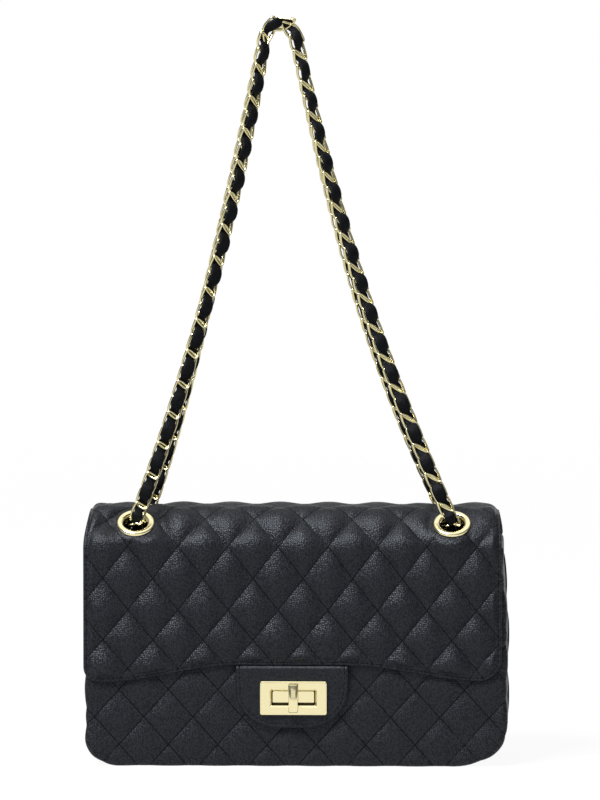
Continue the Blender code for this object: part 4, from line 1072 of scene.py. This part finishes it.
# The tongue: a plain tab of firmer leather with a fine grain, sewn in under the flap's edge, and stitched
# a little inside its own edge. It carries the lock's frame, so it is cut through behind the slot.
TONGUE_HALF = 0.0337
TONGUE_SHIFT = -0.0008
TONGUE_FOOT = 0.0238
TONGUE_TOP = 0.0640
TONGUE_CORNERS = ((0.0260, 0.0200), (0.0250, 0.0215))
TONGUE_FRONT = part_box("closure_tongue")[0].y
TONGUE_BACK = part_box("closure_tongue")[1].y
TONGUE_STITCH = 0.0024
TONGUE_ROLL = 0.0009
TUCK_DEPTH = 0.0022
TUCK_ROWS = (0.0605, 0.0616)
SLOT_HALF = (0.0143, 0.0056)
TAB_DARK = (0.0045, 0.0048, 0.0062)
TAB_CREST = (0.0074, 0.0079, 0.0100)
TAB = leather("tongue leather", TAB_DARK, TAB_CREST, 1100.0, 0.00005, 0.50, 0.26)


def tongue_foot(u):
    return np.full_like(u, TONGUE_FOOT)


def tongue_place(u, v):
    distance, out_u, out_v = edge_distance(u, v, TONGUE_HALF, tongue_foot, TONGUE_CORNERS)
    moved, drop = rolled(distance, TONGUE_ROLL, TONGUE_ROLL)
    taper = 1 - 0.05 * smooth(0.056 - v, 0.0, 0.030)
    x = (u + out_u * moved) * taper + TONGUE_SHIFT
    y = TONGUE_FRONT + drop + TUCK_DEPTH * smooth(v, *TUCK_ROWS)
    return np.stack([x, y, v + out_v * moved], axis=1)


def tongue_inside(u, v):
    return edge_distance(u, v, TONGUE_HALF, tongue_foot, TONGUE_CORNERS)[0]


def tongue_height(u, v):
    return -0.00012 * np.exp(-(((tongue_inside(u, v) - TONGUE_STITCH) / 0.0004) ** 2))


def tongue_skin(u, v):
    _, drop = rolled(tongue_inside(u, v), TONGUE_ROLL, TONGUE_ROLL)
    return np.maximum(TONGUE_BACK - TONGUE_FRONT - drop - TUCK_DEPTH * smooth(v, *TUCK_ROWS), 0.0005)


def tongue_gone(u, v, middle):
    return (np.abs(middle[:, 0]) < SLOT_HALF[0]) & (np.abs(v - LOCK_HEIGHT) < SLOT_HALF[1])


def tongue_line(u, v):
    """Painted shade along the stitched line, and a painted shadow where the top is tucked in under the flap's
    edge.
    """
    under_flap_shadow = 0.004 * smooth(0.0606 - v, 0.0, 0.0008) - 0.0004
    return np.minimum(np.abs(tongue_inside(u, v) - TONGUE_STITCH) + 0.0003, under_flap_shadow)


TONGUE_BAND = (0.0, 0.0002, 0.0005, 0.0009, 0.0013, 0.0018, 0.0021, 0.0024, 0.0027, 0.0031, 0.0036)
tongue_cut = flat_cut(
    dict(PLAIN_GRID, width=0.030, height=0.030), TONGUE_HALF, tongue_foot,
    lambda u: np.full_like(u, TONGUE_TOP), TONGUE_CORNERS, TONGUE_BAND, TONGUE_BAND,
)
tongue_mesh = leather_mesh(
    "tongue", tongue_cut, tongue_place, tongue_height, tongue_skin, None, tongue_gone, tongue_line
)
add_piece("tongue_leather", tongue_mesh, TAB, "flap", ["closure_tongue"])
tongue_run = inside_line(TONGUE_HALF, tongue_foot, TONGUE_CORNERS, TONGUE_STITCH, 0.0600)
stitched("tongue_stitches", [tongue_run], tongue_place, tongue_height, 0.00004, "flap")


# The metal: brass plated in pale gold and polished, with the faint hairlines and clouding of handling.
# The clenched plates, washers and the bar's retainer are plain stampings and stay as they are.
GOLD_BRIGHT = (0.91, 0.84, 0.53)
GOLD_DEEP = (0.83, 0.73, 0.42)
# Near black brass colour: painted shade for the lock's flange, which is seen only through the gap round the
# block.
BRASS_PAINTED_SHADE = (0.10, 0.080, 0.035)


def gold_look(name, roughness, bright, deep):
    look = bpy.data.materials.new(name)
    look.use_nodes = True
    tree = look.node_tree
    shader = tree.nodes["Principled BSDF"]
    shader.inputs["Metallic"].default_value = 1.0
    place = node(tree, "ShaderNodeTexCoord").outputs["Object"]
    drawn = node(tree, "ShaderNodeMapping", {"Vector": place, "Scale": (1.0, 1.0, 0.06)}).outputs[0]
    hairs = node(tree, "ShaderNodeTexNoise", {"Vector": drawn, "Scale": 5200.0, "Detail": 2.0}).outputs[0]
    clouds = node(tree, "ShaderNodeTexNoise", {"Vector": place, "Scale": 160.0, "Detail": 3.0}).outputs[0]
    tones = {0: clouds, 6: (*deep, 1.0), 7: (*bright, 1.0)}
    tone = node(tree, "ShaderNodeMix", tones, data_type="RGBA")
    haze = {0: clouds, 1: 0.3, 2: 0.7, 3: roughness - 0.04, 4: roughness + 0.05}
    rough = node(tree, "ShaderNodeMapRange", haze)
    bump = node(tree, "ShaderNodeBump", {"Height": hairs, "Strength": 0.5, "Distance": 0.000006})
    tree.links.new(tone.outputs[2], shader.inputs["Base Color"])
    tree.links.new(rough.outputs[0], shader.inputs["Roughness"])
    tree.links.new(bump.outputs[0], shader.inputs["Normal"])
    return look


GOLD = gold_look("pale gold", 0.15, GOLD_BRIGHT, GOLD_DEEP)
for name in frame["nodes"]:
    if "washer" in name or "backplate" in name or name == "turn_bar_retainer":
        dress(name, GOLD)


# The eyelets: brass rings turned with a round bead and plated, whose tubes go down through the leather to
# the washers they are spread over. The pull of the strap has tipped their lower edges out a little.
EYELET_PROFILE_MM = (
    (11.35, -0.05), (11.45, 0.40), (11.35, 0.95), (11.05, 1.45), (10.60, 1.85), (10.00, 2.10), (9.40, 2.15),
    (8.80, 2.07), (8.25, 1.87), (7.80, 1.52), (7.45, 1.02), (7.25, 0.30), (7.15, -0.80), (7.15, -3.60),
    (7.40, -3.75), (8.15, -3.60), (8.55, -0.40), (8.80, -0.10),
)


def turned_mesh(name, profile, middle, axis, steps=72):
    """A profile of radius and height spun round an axis."""
    toward = Vector(axis).to_track_quat("Z", "Y").to_matrix()
    rings = []
    for step in range(steps):
        angle = 2 * math.pi * step / steps
        spoke = Vector((math.cos(angle), math.sin(angle), 0.0))
        spun = [spoke * radius + Vector((0.0, 0.0, up)) for radius, up in profile]
        rings.append([Vector(middle) + toward @ point for point in spun])
    return ring_mesh(name, rings, closed=True)


EYELET_PROFILE = [(radius / 1000, up / 1000) for radius, up in EYELET_PROFILE_MM]
for name, (side, front) in EYELETS.items():
    made = turned_mesh(name, EYELET_PROFILE, EYELET_MIDDLES[name], RING_AXES[front])
    add_piece(name + "_ring", made, GOLD, "flap", [name])


# The lock's frame: a brass plate with a slot, its edges bevelled and its face plated. It is held by two
# posts that go through the tongue and are clenched over a plate behind it.
FRAME_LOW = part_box("lock_frame")[0]
FRAME_HALF = (0.0199, 0.0101)
FRAME_BACK = TONGUE_FRONT
SLOT_EDGE = (0.0132, 0.0045)


def plate_ring(half_x, half_z, radius, y, rise=0.0, steps=5):
    """Points round an upright rounded rectangle at the lock."""
    ring = []
    for quarter, (x, z) in enumerate(((1, 1), (-1, 1), (-1, -1), (1, -1))):
        for step in range(steps + 1):
            angle = math.pi / 2 * (quarter + step / steps)
            ring.append((
                x * (half_x - radius) + radius * math.cos(angle), y,
                LOCK_HEIGHT + rise + z * (half_z - radius) + radius * math.sin(angle),
            ))
    return ring


frame_rings = [
    plate_ring(FRAME_HALF[0] - inset, FRAME_HALF[1] - inset, 0.0012 - inset * 0.7, y)
    for inset, y in (
        (0.0, FRAME_BACK), (0.0, FRAME_LOW.y + 0.0008), (0.00005, FRAME_LOW.y + 0.0006),
        (0.0006, FRAME_LOW.y + 0.00006), (0.0008, FRAME_LOW.y),
    )
]
frame_rings += [
    plate_ring(SLOT_EDGE[0] + out, SLOT_EDGE[1] + out, 0.0004 + out * 0.4, y)
    for out, y in (
        (0.0009, FRAME_LOW.y), (0.0008, FRAME_LOW.y + 0.00005), (0.0001, FRAME_LOW.y + 0.0008),
        (0.0, FRAME_LOW.y + 0.0009), (0.0, FRAME_BACK),
    )
]
frame_mesh = sharpened(ring_mesh("lock frame", frame_rings, closed=True), math.radians(12))
add_piece("lock_frame_plate", frame_mesh, GOLD, "flap", ["lock_frame"])


# The lock's base: a flange let into the front panel, coloured near black as painted shade in the gap round
# the block, and the plated block on it, which fills the frame's slot and leaves a dark gap round itself,
# widest below.
BASE_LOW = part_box("lock_base")[0]
BLOCK_HALF = (0.01245, 0.00345)
BLOCK_RISE = 0.00075
BLOCK_FRONT = -0.0375
SHADED_FLANGE_LOOK = gold_look("brass darkened as painted shade", 0.5, BRASS_PAINTED_SHADE, BRASS_PAINTED_SHADE)
flange_rings = [
    plate_ring(0.0180, 0.00825, 0.0010, PANEL_FRONT + 0.0012),
    plate_ring(0.0180, 0.00825, 0.0010, PANEL_FRONT + 0.0002),
    plate_ring(0.0178, 0.00805, 0.0009, PANEL_FRONT),
]
flange_mesh = sharpened(ring_mesh("lock flange", flange_rings))
add_piece("lock_base_flange", flange_mesh, SHADED_FLANGE_LOOK)
block_rings = [
    plate_ring(BLOCK_HALF[0], BLOCK_HALF[1], 0.0004, PANEL_FRONT, BLOCK_RISE),
    plate_ring(BLOCK_HALF[0], BLOCK_HALF[1], 0.0004, BLOCK_FRONT + 0.0003, BLOCK_RISE),
    plate_ring(BLOCK_HALF[0] - 0.0001, BLOCK_HALF[1] - 0.0001, 0.0004, BLOCK_FRONT + 0.0001, BLOCK_RISE),
    plate_ring(BLOCK_HALF[0] - 0.0003, BLOCK_HALF[1] - 0.0003, 0.0003, BLOCK_FRONT, BLOCK_RISE),
]
block_mesh = sharpened(ring_mesh("lock base", block_rings), math.radians(12))
add_piece("lock_base_block", block_mesh, GOLD, "bag", ["lock_base"])


# The turn bar: a short plated brass bar with a rounded face and one sloped end. Its stem goes through the
# base, is held by a washer behind, and lets it turn a quarter.
BAR_BACK = BASE_LOW.y - 0.0003
BAR_STATIONS_MM = (
    (-8.30, 2.10, 2.6), (-8.20, 2.45, 3.1), (-7.9, 2.70, 3.6), (-7.4, 2.85, 4.0), (-6.4, 2.9, 4.25),
    (5.7, 2.95, 4.4), (5.8, 2.95, 4.35), (8.3, 2.95, 3.62), (8.6, 2.8, 3.3), (8.7, 2.6, 2.9),
)


def bar_ring(rise, half, thick):
    """A section of the bar: flat back and sides, and a rounded face."""
    side = BAR_BACK - thick * 0.62
    ring = [(half, BAR_BACK, rise), (half, side, rise)]
    for angle in np.linspace(0.0, math.pi, 13)[1:-1]:
        ring.append((half * math.cos(angle), side - thick * 0.38 * math.sin(angle) ** 0.8, rise))
    return ring + [(-half, side, rise), (-half, BAR_BACK, rise)]


bar_rings = [
    bar_ring(LOCK_HEIGHT + up / 1000, half / 1000, thick / 1000) for up, half, thick in BAR_STATIONS_MM
]
bar_mesh = sharpened(ring_mesh("turn bar", bar_rings), math.radians(28))
add_piece("turn_bar_grip", bar_mesh, GOLD, "turn_bar", ["turn_bar"])
stem_profile = [(0.0002, 0.0), (0.0019, 0.0), (0.0019, 0.0075), (0.0002, 0.0075)]
stem_foot = (0.0, BAR_BACK - 0.0008, LOCK_HEIGHT)
stem_mesh = sharpened(turned_mesh("stem", stem_profile, stem_foot, (0.0, 1.0, 0.0), 32))
add_piece("turn_bar_stem", stem_mesh, GOLD, "turn_bar")


# The chain: curb links of round gold wire, each twisted so that it lies in the next. Two loops stand up from
# the eyelets and lean on each other, and two short runs join the eyelets under the flap.
STRAP_RISE = 0.2967
PEAK_OFFSET = -0.0076
PEAK_RADIUS = 0.0090
PEAK_GAP = 0.0084
LEFT_SLOPES = (0.38, 0.16)
RIGHT_SLOPES = (0.45, 0.22)
LEG_PULL = 0.33
PEAK_LINKS = 4
PEAK_SLIP = 0.0030
LINK_PITCH = 0.0095
LINK_WIDTH = 0.0092
WIRE = 0.00076
LINK_TWIST = math.radians(18)
LINK_OVERLAP = 0.0003
SLANT_PLACES = (0.05, 0.30, 0.50, 0.62, 0.97)
SLANTS = (0.25, 0.85, 1.00, 1.45, 1.20)
STRAP_DRIFT = 0.0012
CHAIN_TURN = math.radians(33)
REAR_DRIFT = (0.0036, 0.0014)
INNER_LEAD = 0.0044
INNER_SLACK = 1.02


def curve(start, start_pull, end_pull, end, steps):
    """Points on a cubic curve."""
    t = np.linspace(0.0, 1.0, steps + 1)[:, None]
    start, start_pull = np.array(start, float), np.array(start_pull, float)
    end_pull, end = np.array(end_pull, float), np.array(end, float)
    return start * (1 - t)**3 + start_pull * 3 * t * (1 - t)**2 + end_pull * 3 * t * t * (1 - t) + end * t**3


def loop_route(spacing, rise):
    """The loop in its own plane: up the left leg, round the peak and down the right leg."""
    centre = np.array([PEAK_OFFSET, rise - PEAK_RADIUS])
    turn = np.linspace(math.pi - math.atan(LEFT_SLOPES[1]), math.atan(RIGHT_SLOPES[1]), 40)
    crown = centre + PEAK_RADIUS * np.stack([np.cos(turn), np.sin(turn)], axis=1)
    pull = rise * LEG_PULL
    foot_l, foot_r = np.array([-spacing / 2, 0.0]), np.array([spacing / 2, 0.0])
    left = curve(
        foot_l, foot_l + pull * np.array([LEFT_SLOPES[0], 1.0]),
        crown[0] - pull * np.array([LEFT_SLOPES[1], 1.0]), crown[0], 200,
    )
    right = curve(
        crown[-1], crown[-1] - pull * np.array([-RIGHT_SLOPES[1], 1.0]),
        foot_r + pull * np.array([-RIGHT_SLOPES[0], 1.0]), foot_r, 200,
    )
    return np.concatenate([left, crown[1:-1], right])


def lengths(route):
    return np.append(0.0, np.cumsum(np.linalg.norm(np.diff(route, axis=0), axis=1)))


def along_route(route, length, places):
    """Points on a route at distances along it, running straight on past its ends."""
    inside = np.stack([np.interp(places, length, route[:, axis]) for axis in range(3)], axis=1)
    start, end = route[0] - route[1], route[-1] - route[-2]
    inside += np.clip(-places, 0.0, None)[:, None] * start / np.linalg.norm(start)
    return inside + np.clip(places - length[-1], 0.0, None)[:, None] * end / np.linalg.norm(end)


def one_link():
    """One link's wire at the origin, along X and facing Z, with each point's place across and rise kept."""
    reach, half = LINK_PITCH / 2 + WIRE + LINK_OVERLAP, LINK_WIDTH / 2 - WIRE
    angles = np.linspace(0.0, 2 * math.pi, 29)[:-1]
    x = reach * np.copysign(np.abs(np.cos(angles)) ** 0.40, np.cos(angles))
    y = half * np.copysign(np.abs(np.sin(angles)) ** 0.72, np.sin(angles))
    turn = LINK_TWIST * x / reach
    mesh = bpy.data.meshes.new("link")
    points = np.stack([x, y * np.cos(turn), y * np.sin(turn)], axis=1)
    mesh.from_pydata(points.tolist(), [(index, (index + 1) % 28) for index in range(28)], [])
    for label, column in (("across", 1), ("rise", 2)):
        kept = mesh.attributes.new(label, "FLOAT", "POINT")
        kept.data.foreach_set("value", points[:, column].astype(np.float32))
    return mesh


def chain_tree():
    """A wire link set on each place, lying along the run and facing out of it, its crossings slanted."""
    inputs = [
        ("Places", "NodeSocketGeometry", None), ("Link", "NodeSocketObject", None),
        ("Wire Radius", "NodeSocketFloat", WIRE), ("Metal", "NodeSocketMaterial", None),
    ]
    outputs = [("Links", "NodeSocketGeometry")]
    tree, given, result = new_tree("chain links", "GeometryNodeTree", inputs, outputs)
    given = given.outputs
    link = node(tree, "GeometryNodeObjectInfo", {"Object": given["Link"]}).outputs["Geometry"]
    along, out = (kept_value(tree, label, "FLOAT_VECTOR") for label in ("along", "facing"))
    slant, tilt, across, rise = (kept_value(tree, label) for label in ("slant", "tilt", "across", "rise"))
    turn = node(
        tree, "FunctionNodeAxesToRotation", {0: along, 1: out}, primary_axis="X", secondary_axis="Z"
    )
    set_out = {"Points": given["Places"], "Instance": link, "Rotation": turn.outputs[0]}
    placed = node(tree, "GeometryNodeInstanceOnPoints", set_out).outputs[0]
    wires = node(tree, "GeometryNodeRealizeInstances", {0: placed}).outputs[0]
    sideways = {0: slant, 1: across, 2: maths(tree, "MULTIPLY", tilt, rise)}
    ahead = node(tree, "ShaderNodeMath", sideways, operation="MULTIPLY_ADD").outputs[0]
    slid = node(tree, "ShaderNodeVectorMath", {0: along, 3: ahead}, operation="SCALE").outputs[0]
    slanted = node(tree, "GeometryNodeSetPosition", {"Geometry": wires, "Offset": slid}).outputs[0]
    curves = node(tree, "GeometryNodeMeshToCurve", {"Mesh": slanted}).outputs[0]
    section = {"Resolution": 9, "Radius": given["Wire Radius"]}
    profile = node(tree, "GeometryNodeCurvePrimitiveCircle", section).outputs["Curve"]
    tubes = node(tree, "GeometryNodeCurveToMesh", {"Curve": curves, "Profile Curve": profile}).outputs[0]
    shaded = node(tree, "GeometryNodeSetShadeSmooth", {"Geometry": tubes}).outputs[0]
    real = node(tree, "GeometryNodeRealizeInstances", {0: shaded}).outputs[0]
    painted = node(tree, "GeometryNodeSetMaterial", {"Geometry": real, "Material": given["Metal"]})
    tree.links.new(painted.outputs[0], result.inputs[0])
    return tree


CHAIN = chain_tree()
PIVOTS = {joint["name"]: np.array(joint["pos_m"], float) for joint in frame["joints"]}
link_holder = bpy.data.objects.new("link_holder", one_link())
bpy.context.scene.collection.objects.link(link_holder)
GOLD_WIRE = gold_look("pale gold wire", 0.11, (0.84, 0.78, 0.47), (0.50, 0.44, 0.23))


def chain_mesh(name, knots, out, slants, tilts=0.0):
    """The links between knots, each facing out and slanted as given. The tilts slant the two bars of each
    crossing alike as seen from the front, where the chain is turned away from it."""
    along = np.diff(knots, axis=0)
    along /= np.linalg.norm(along, axis=1)[:, None]
    middles = (knots[1:] + knots[:-1]) / 2
    mesh = bpy.data.meshes.new(name)
    mesh.from_pydata(middles.tolist(), [], [])
    for label, values in (("along", along), ("facing", np.broadcast_to(out, along.shape))):
        attribute = mesh.attributes.new(label, "FLOAT_VECTOR", "POINT")
        attribute.data.foreach_set("vector", np.ascontiguousarray(values, dtype=np.float32).ravel())
    for label, values in (("slant", slants), ("tilt", tilts)):
        attribute = mesh.attributes.new(label, "FLOAT", "POINT")
        attribute.data.foreach_set("value", np.broadcast_to(values, len(along)).astype(np.float32))
    return grown(name, mesh, CHAIN, {"Link": link_holder, "Metal": GOLD_WIRE})


# The ribbon: a strip of soft black leather woven through the chain, over one joint and under the next, so
# that it puffs up between the gold crossings. It pinches where it goes through a link.
RIBBON_WIDTH = 0.0074
RIBBON_PINCH = 0.0052
RIBBON_THICKNESS = 0.0021
RIBBON_LIFT = 0.0031
RIBBON_LEAN = 0.36
RIBBON_IN = 0.0016
RIBBON_SLIM = 0.18
STRIP_DARK = (0.0080, 0.0083, 0.0100)
STRIP_CREST = (0.0125, 0.0130, 0.0152)
STRIP = leather("ribbon leather", STRIP_DARK, STRIP_CREST, 1500.0, 0.00010, 0.50, 0.32)


def ribbon_mesh(name, route, joints, facing_at, sign, ends, slim=0.0):
    """The strip on its route. joints are the chain's joints along it, facing_at gives the way it faces at
    each place, sign is 1 if the strip starts over the first joint, and slim narrows it about its middle."""
    length = lengths(route)
    places = np.arange(ends[0], ends[1] + 0.0004, 0.00075)
    wave = sign * np.cos(math.pi * np.interp(places, joints, np.arange(len(joints)))) + RIBBON_LEAN
    wave = np.copysign(np.abs(wave / (1 + RIBBON_LEAN)) ** 0.7, wave)
    wave = wave * smooth(np.minimum(places - ends[0], ends[1] - places), 0.0, 0.0070)
    out = facing_at(places)
    centre = along_route(route, length, places) + out * (RIBBON_LIFT * wave)[:, None]
    ahead = np.gradient(centre, axis=0)
    ahead /= np.linalg.norm(ahead, axis=1)[:, None]
    side = np.cross(out, ahead)
    side /= np.linalg.norm(side, axis=1)[:, None]
    up = np.cross(ahead, side)
    swell = smooth(np.abs(wave), 0.1, 0.9)
    half = (RIBBON_PINCH + (RIBBON_WIDTH - RIBBON_PINCH) * swell) / 2
    half = half * (1 - slim * smooth(np.minimum(places, length[-1] - places) / length[-1], 0.25, 0.47))
    thick = RIBBON_THICKNESS / 2 * (0.86 + 0.14 * swell)
    rings = []
    for index in range(len(places)):
        ring = []
        for step in range(16):
            angle = 2 * math.pi * step / 16
            c, s = math.cos(angle), math.sin(angle)
            across = half[index] * math.copysign(abs(c) ** 0.62, c)
            rise = thick[index] * math.copysign(abs(s) ** 0.85, s)
            ring.append(tuple(centre[index] + side[index] * across + up[index] * rise))
        rings.append(ring)
    return ring_mesh(name, rings)


def add_loop(name, joint, peak_depth):
    """One loop of the doubled strap: its links and its ribbon, on the joint through its two eyelets."""
    foot = PIVOTS[joint]
    lean = math.atan2(peak_depth - foot[1], STRAP_RISE)
    flat = loop_route(2 * EYELET_X[peak_depth < 0], STRAP_RISE / math.cos(lean))
    up = np.array([0.0, math.sin(lean), math.cos(lean)])
    route = foot * [0, 1, 1] + flat[:, :1] * [1.0, 0.0, 0.0] + flat[:, 1:] * up
    front = np.array([0.0, -math.cos(lean), math.sin(lean)])
    count = 2 * round((lengths(route)[-1] / LINK_PITCH - PEAK_LINKS) / 2) + PEAK_LINKS
    climb = np.clip(flat[:, 1] / flat[:, 1].max(), 0.0, 1.0)
    sideways = -STRAP_DRIFT * smooth(climb, 0.05, 0.5)
    if peak_depth > 0:
        drift = np.where(np.arange(len(flat)) < len(flat) / 2, *REAR_DRIFT)
        sideways = sideways - drift * np.sin(math.pi * climb)
    route = route + sideways[:, None] * np.array([1.0, 0.0, 0.0])
    length = lengths(route)

    def turn_at(places):
        """The chain faces forwards at the eyelets and the peak, and a little to the right between them."""
        share = 1 - np.abs(2 * places / length[-1] - 1)
        leg = np.clip((1 - 2 * places / length[-1]) / 0.06, -1.0, 1.0)
        return CHAIN_TURN * leg * smooth(share, 0.05, 0.60)

    def facing_at(places):
        turn = turn_at(places)
        ahead = along_route(route, length, places + 0.0005) - along_route(route, length, places - 0.0005)
        across = np.cross(ahead, front)
        across /= np.linalg.norm(across, axis=1)[:, None]
        return np.cos(turn)[:, None] * front + np.sin(turn)[:, None] * across

    share = 1 - np.abs(2 * np.arange(count + 1) / count - 1)
    joints = length[-1] / count * np.arange(count + 1) + PEAK_SLIP * smooth(share, 0.30, 1.0)
    knots = along_route(route, length, joints)
    middles = (np.arange(count) + 0.5) / count
    slants = np.interp(middles, SLANT_PLACES, SLANTS)
    nodes = [name + part for part in ("_chain_left", "_chain_top", "_chain_right")]
    tilts = -slants * np.tan(turn_at(length[-1] * middles))
    links = chain_mesh(name, knots, facing_at(length[-1] * middles), slants, tilts)
    add_piece(name + "_links", links, GOLD_WIRE, name, nodes)
    ends = (-RIBBON_IN, length[-1] + RIBBON_IN)
    strip = ribbon_mesh(name + " ribbon", route, joints, facing_at, 1, ends, RIBBON_SLIM)
    add_piece(name + "_woven_ribbon", strip, STRIP, name, [name + "_ribbon"])


add_loop("front_strap", "front_strap_swing", -PEAK_GAP / 2)
add_loop("rear_strap", "rear_strap_swing", PEAK_GAP / 2)


def add_inner_run(side_name, side):
    """The strap's run under the flap, from a front eyelet to the rear one, sagging as its links allow."""
    start, end = (
        PIVOTS[joint] * [0, 1, 1] + [side * EYELET_X[front], 0.0, 0.0]
        for joint, front in (("front_strap_swing", True), ("rear_strap_swing", False))
    )
    gap = np.linalg.norm(end - start)
    count = math.ceil((gap * INNER_SLACK - 2 * INNER_LEAD) / LINK_PITCH)
    into, out_of = np.array(SEAT_AXES[True]), np.array(SEAT_AXES[False])
    low, high = 0.0, gap / 2
    for _ in range(40):
        pull = (low + high) / 2
        route = curve(start, start - pull * into, end - pull * out_of, end, 120)
        length = lengths(route)
        low, high = (pull, high) if length[-1] < count * LINK_PITCH + 2 * INNER_LEAD else (low, pull)
    knots = along_route(route, length, INNER_LEAD + LINK_PITCH * np.arange(count + 1))
    across = np.cross([0.0, 0.0, -1.0], end - start)
    across /= np.linalg.norm(across)
    along = np.diff(knots, axis=0)
    out = np.cross(along, across)
    out /= np.linalg.norm(out, axis=1)[:, None]
    name = "inner_chain_" + side_name
    links = chain_mesh(name, knots, out, SLANTS[0])
    add_piece(name + "_links", links, GOLD_WIRE, "flap", [name])
    route_ahead = np.gradient(route, axis=0)
    facing_out = np.cross(route_ahead, across)
    facing_out /= np.linalg.norm(facing_out, axis=1)[:, None]
    ends = (INNER_LEAD - 0.001, length[-1] - INNER_LEAD + 0.001)

    def facing_at(places):
        return np.stack([np.interp(places, length, facing_out[:, axis]) for axis in range(3)], axis=1)

    joints = INNER_LEAD + LINK_PITCH * np.arange(count + 1)
    strip = ribbon_mesh(name + " ribbon", route, joints, facing_at, -1, ends)
    name = "inner_ribbon_" + side_name
    add_piece(name + "_strip", strip, STRIP, "flap", [name])


add_inner_run("left", -1)
add_inner_run("right", 1)
bpy.data.objects.remove(link_holder)


# The photograph's set: white paper in a white room, and a camera far off in front and a little above the
# bag. A wide soft lamp up on the left models the padding, and a weak one and the paper fill the rest. The
# metal mirrors a bright backdrop low behind and above the bag, and a dim room elsewhere.
CAMERA_DISTANCE = 8.0
CAMERA_RISE = math.radians(6.0)
CAMERA_TURN = math.radians(1.5)
CAMERA_AIM = Vector((0.0030, 0.0, 0.2171))
LENS = 601.5
PAPER = (0.93, 0.93, 0.93)
PAPER_REACH = 14.0
PAPER_GLOW = 0.94
PAPER_FADE = (0.5, 2.0)
ROOM_LEVEL = 0.25
ROOM_MIRROR = 0.17
ROOM_BACKDROP = 1.3
BACKDROP_LOW = (0.10, 0.34)
BACKDROP_BEHIND = (0.35, 0.75)
BACKDROP_ABOVE = (0.45, 0.85)


def lamp(name, place, aim, size, power):
    light = bpy.data.lights.new(name, "AREA")
    light.shape = "RECTANGLE"
    light.size, light.size_y = size
    light.energy = power
    made = bpy.data.objects.new(name, light)
    bpy.context.scene.collection.objects.link(made)
    made.location = place
    made.rotation_euler = (Vector(aim) - Vector(place)).to_track_quat("-Z", "Y").to_euler()
    return made


def rays(tree):
    """1 for rays straight from the camera or through a clear thing, and 1 for mirrored rays."""
    path = node(tree, "ShaderNodeLightPath").outputs
    return maths(tree, "MAXIMUM", path["Is Camera Ray"], path["Is Transmission Ray"]), path["Is Glossy Ray"]


def white_to_some_rays(tree, surface, plain, glow):
    """Camera, mirror and see-through rays take the surface as white. All others light it as it is."""
    share = maths(tree, "MULTIPLY", maths(tree, "MAXIMUM", *rays(tree)), glow)
    white = node(tree, "ShaderNodeEmission", {"Color": (1.0, 1.0, 1.0, 1.0), "Strength": 1.0}).outputs[0]
    mixed = node(tree, "ShaderNodeMixShader", {0: share, 1: plain, 2: white})
    tree.links.new(mixed.outputs[0], surface)


def paper_floor():
    """White paper under the bag, which fades to pure white away from it."""
    mesh = bpy.data.meshes.new("paper")
    reach = PAPER_REACH
    corners = [(-reach, -reach, 0.0), (reach, -reach, 0.0), (reach, reach, 0.0), (-reach, reach, 0.0)]
    mesh.from_pydata(corners, [], [(0, 1, 2, 3)])
    look = bpy.data.materials.new("paper")
    look.use_nodes = True
    tree = look.node_tree
    shader = tree.nodes["Principled BSDF"]
    shader.inputs["Base Color"].default_value = (*PAPER, 1.0)
    shader.inputs["Roughness"].default_value = 0.9
    surface = tree.nodes["Material Output"].inputs["Surface"]
    place = node(tree, "ShaderNodeTexCoord").outputs["Object"]
    away = node(tree, "ShaderNodeVectorMath", {0: place}, operation="LENGTH").outputs["Value"]
    fade = {0: away, 1: PAPER_FADE[0], 2: PAPER_FADE[1], 3: PAPER_GLOW, 4: 1.0}
    glow = node(tree, "ShaderNodeMapRange", fade).outputs[0]
    white_to_some_rays(tree, surface, shader.outputs[0], glow)
    mesh.materials.append(look)
    made = bpy.data.objects.new("paper", mesh)
    bpy.context.scene.collection.objects.link(made)
    return made


paper = paper_floor()
key = lamp("key", (-0.9, -1.3, 2.05), (0.0, 0.0, 0.10), (1.1, 0.9), 128.0)
fill = lamp("fill", (0.0, -2.6, 0.55), (0.0, 0.0, 0.20), (2.6, 0.9), 5.0)
world = bpy.data.worlds.new("room")
bpy.context.scene.world = world
world.use_nodes = True
tree = world.node_tree
room = tree.nodes["Background"]
room.inputs["Color"].default_value = (1.0, 1.0, 1.0, 1.0)
seen, mirrored = rays(tree)
way = node(tree, "ShaderNodeTexCoord").outputs["Generated"]
way = node(tree, "ShaderNodeSeparateXYZ", {0: way}).outputs
low = eased(tree, way["Z"], *BACKDROP_LOW, 1.0, 0.0)
behind = eased(tree, way["Y"], *BACKDROP_BEHIND, 0.0, 1.0)
above = eased(tree, way["Z"], *BACKDROP_ABOVE, 0.0, 1.0)
bright = maths(tree, "MAXIMUM", maths(tree, "MULTIPLY", low, behind), above)
mirror = node(tree, "ShaderNodeMapRange", {0: bright, 3: ROOM_MIRROR, 4: ROOM_BACKDROP}).outputs[0]
unseen = node(tree, "ShaderNodeMapRange", {0: mirrored, 3: ROOM_LEVEL, 4: mirror}).outputs[0]
tree.links.new(maths(tree, "MAXIMUM", seen, unseen), room.inputs["Strength"])

camera_data = bpy.data.cameras.new("camera")
camera_data.lens = LENS
camera_data.clip_end = 40.0
camera = bpy.data.objects.new("camera", camera_data)
bpy.context.scene.collection.objects.link(camera)
flat = math.cos(CAMERA_RISE)
toward = Vector((math.sin(CAMERA_TURN) * flat, -math.cos(CAMERA_TURN) * flat, math.sin(CAMERA_RISE)))
camera.location = CAMERA_AIM + toward * CAMERA_DISTANCE
camera.rotation_euler = (-toward).to_track_quat("-Z", "Y").to_euler()
bpy.context.scene.camera = camera
bpy.context.scene.view_settings.view_transform = "Standard"
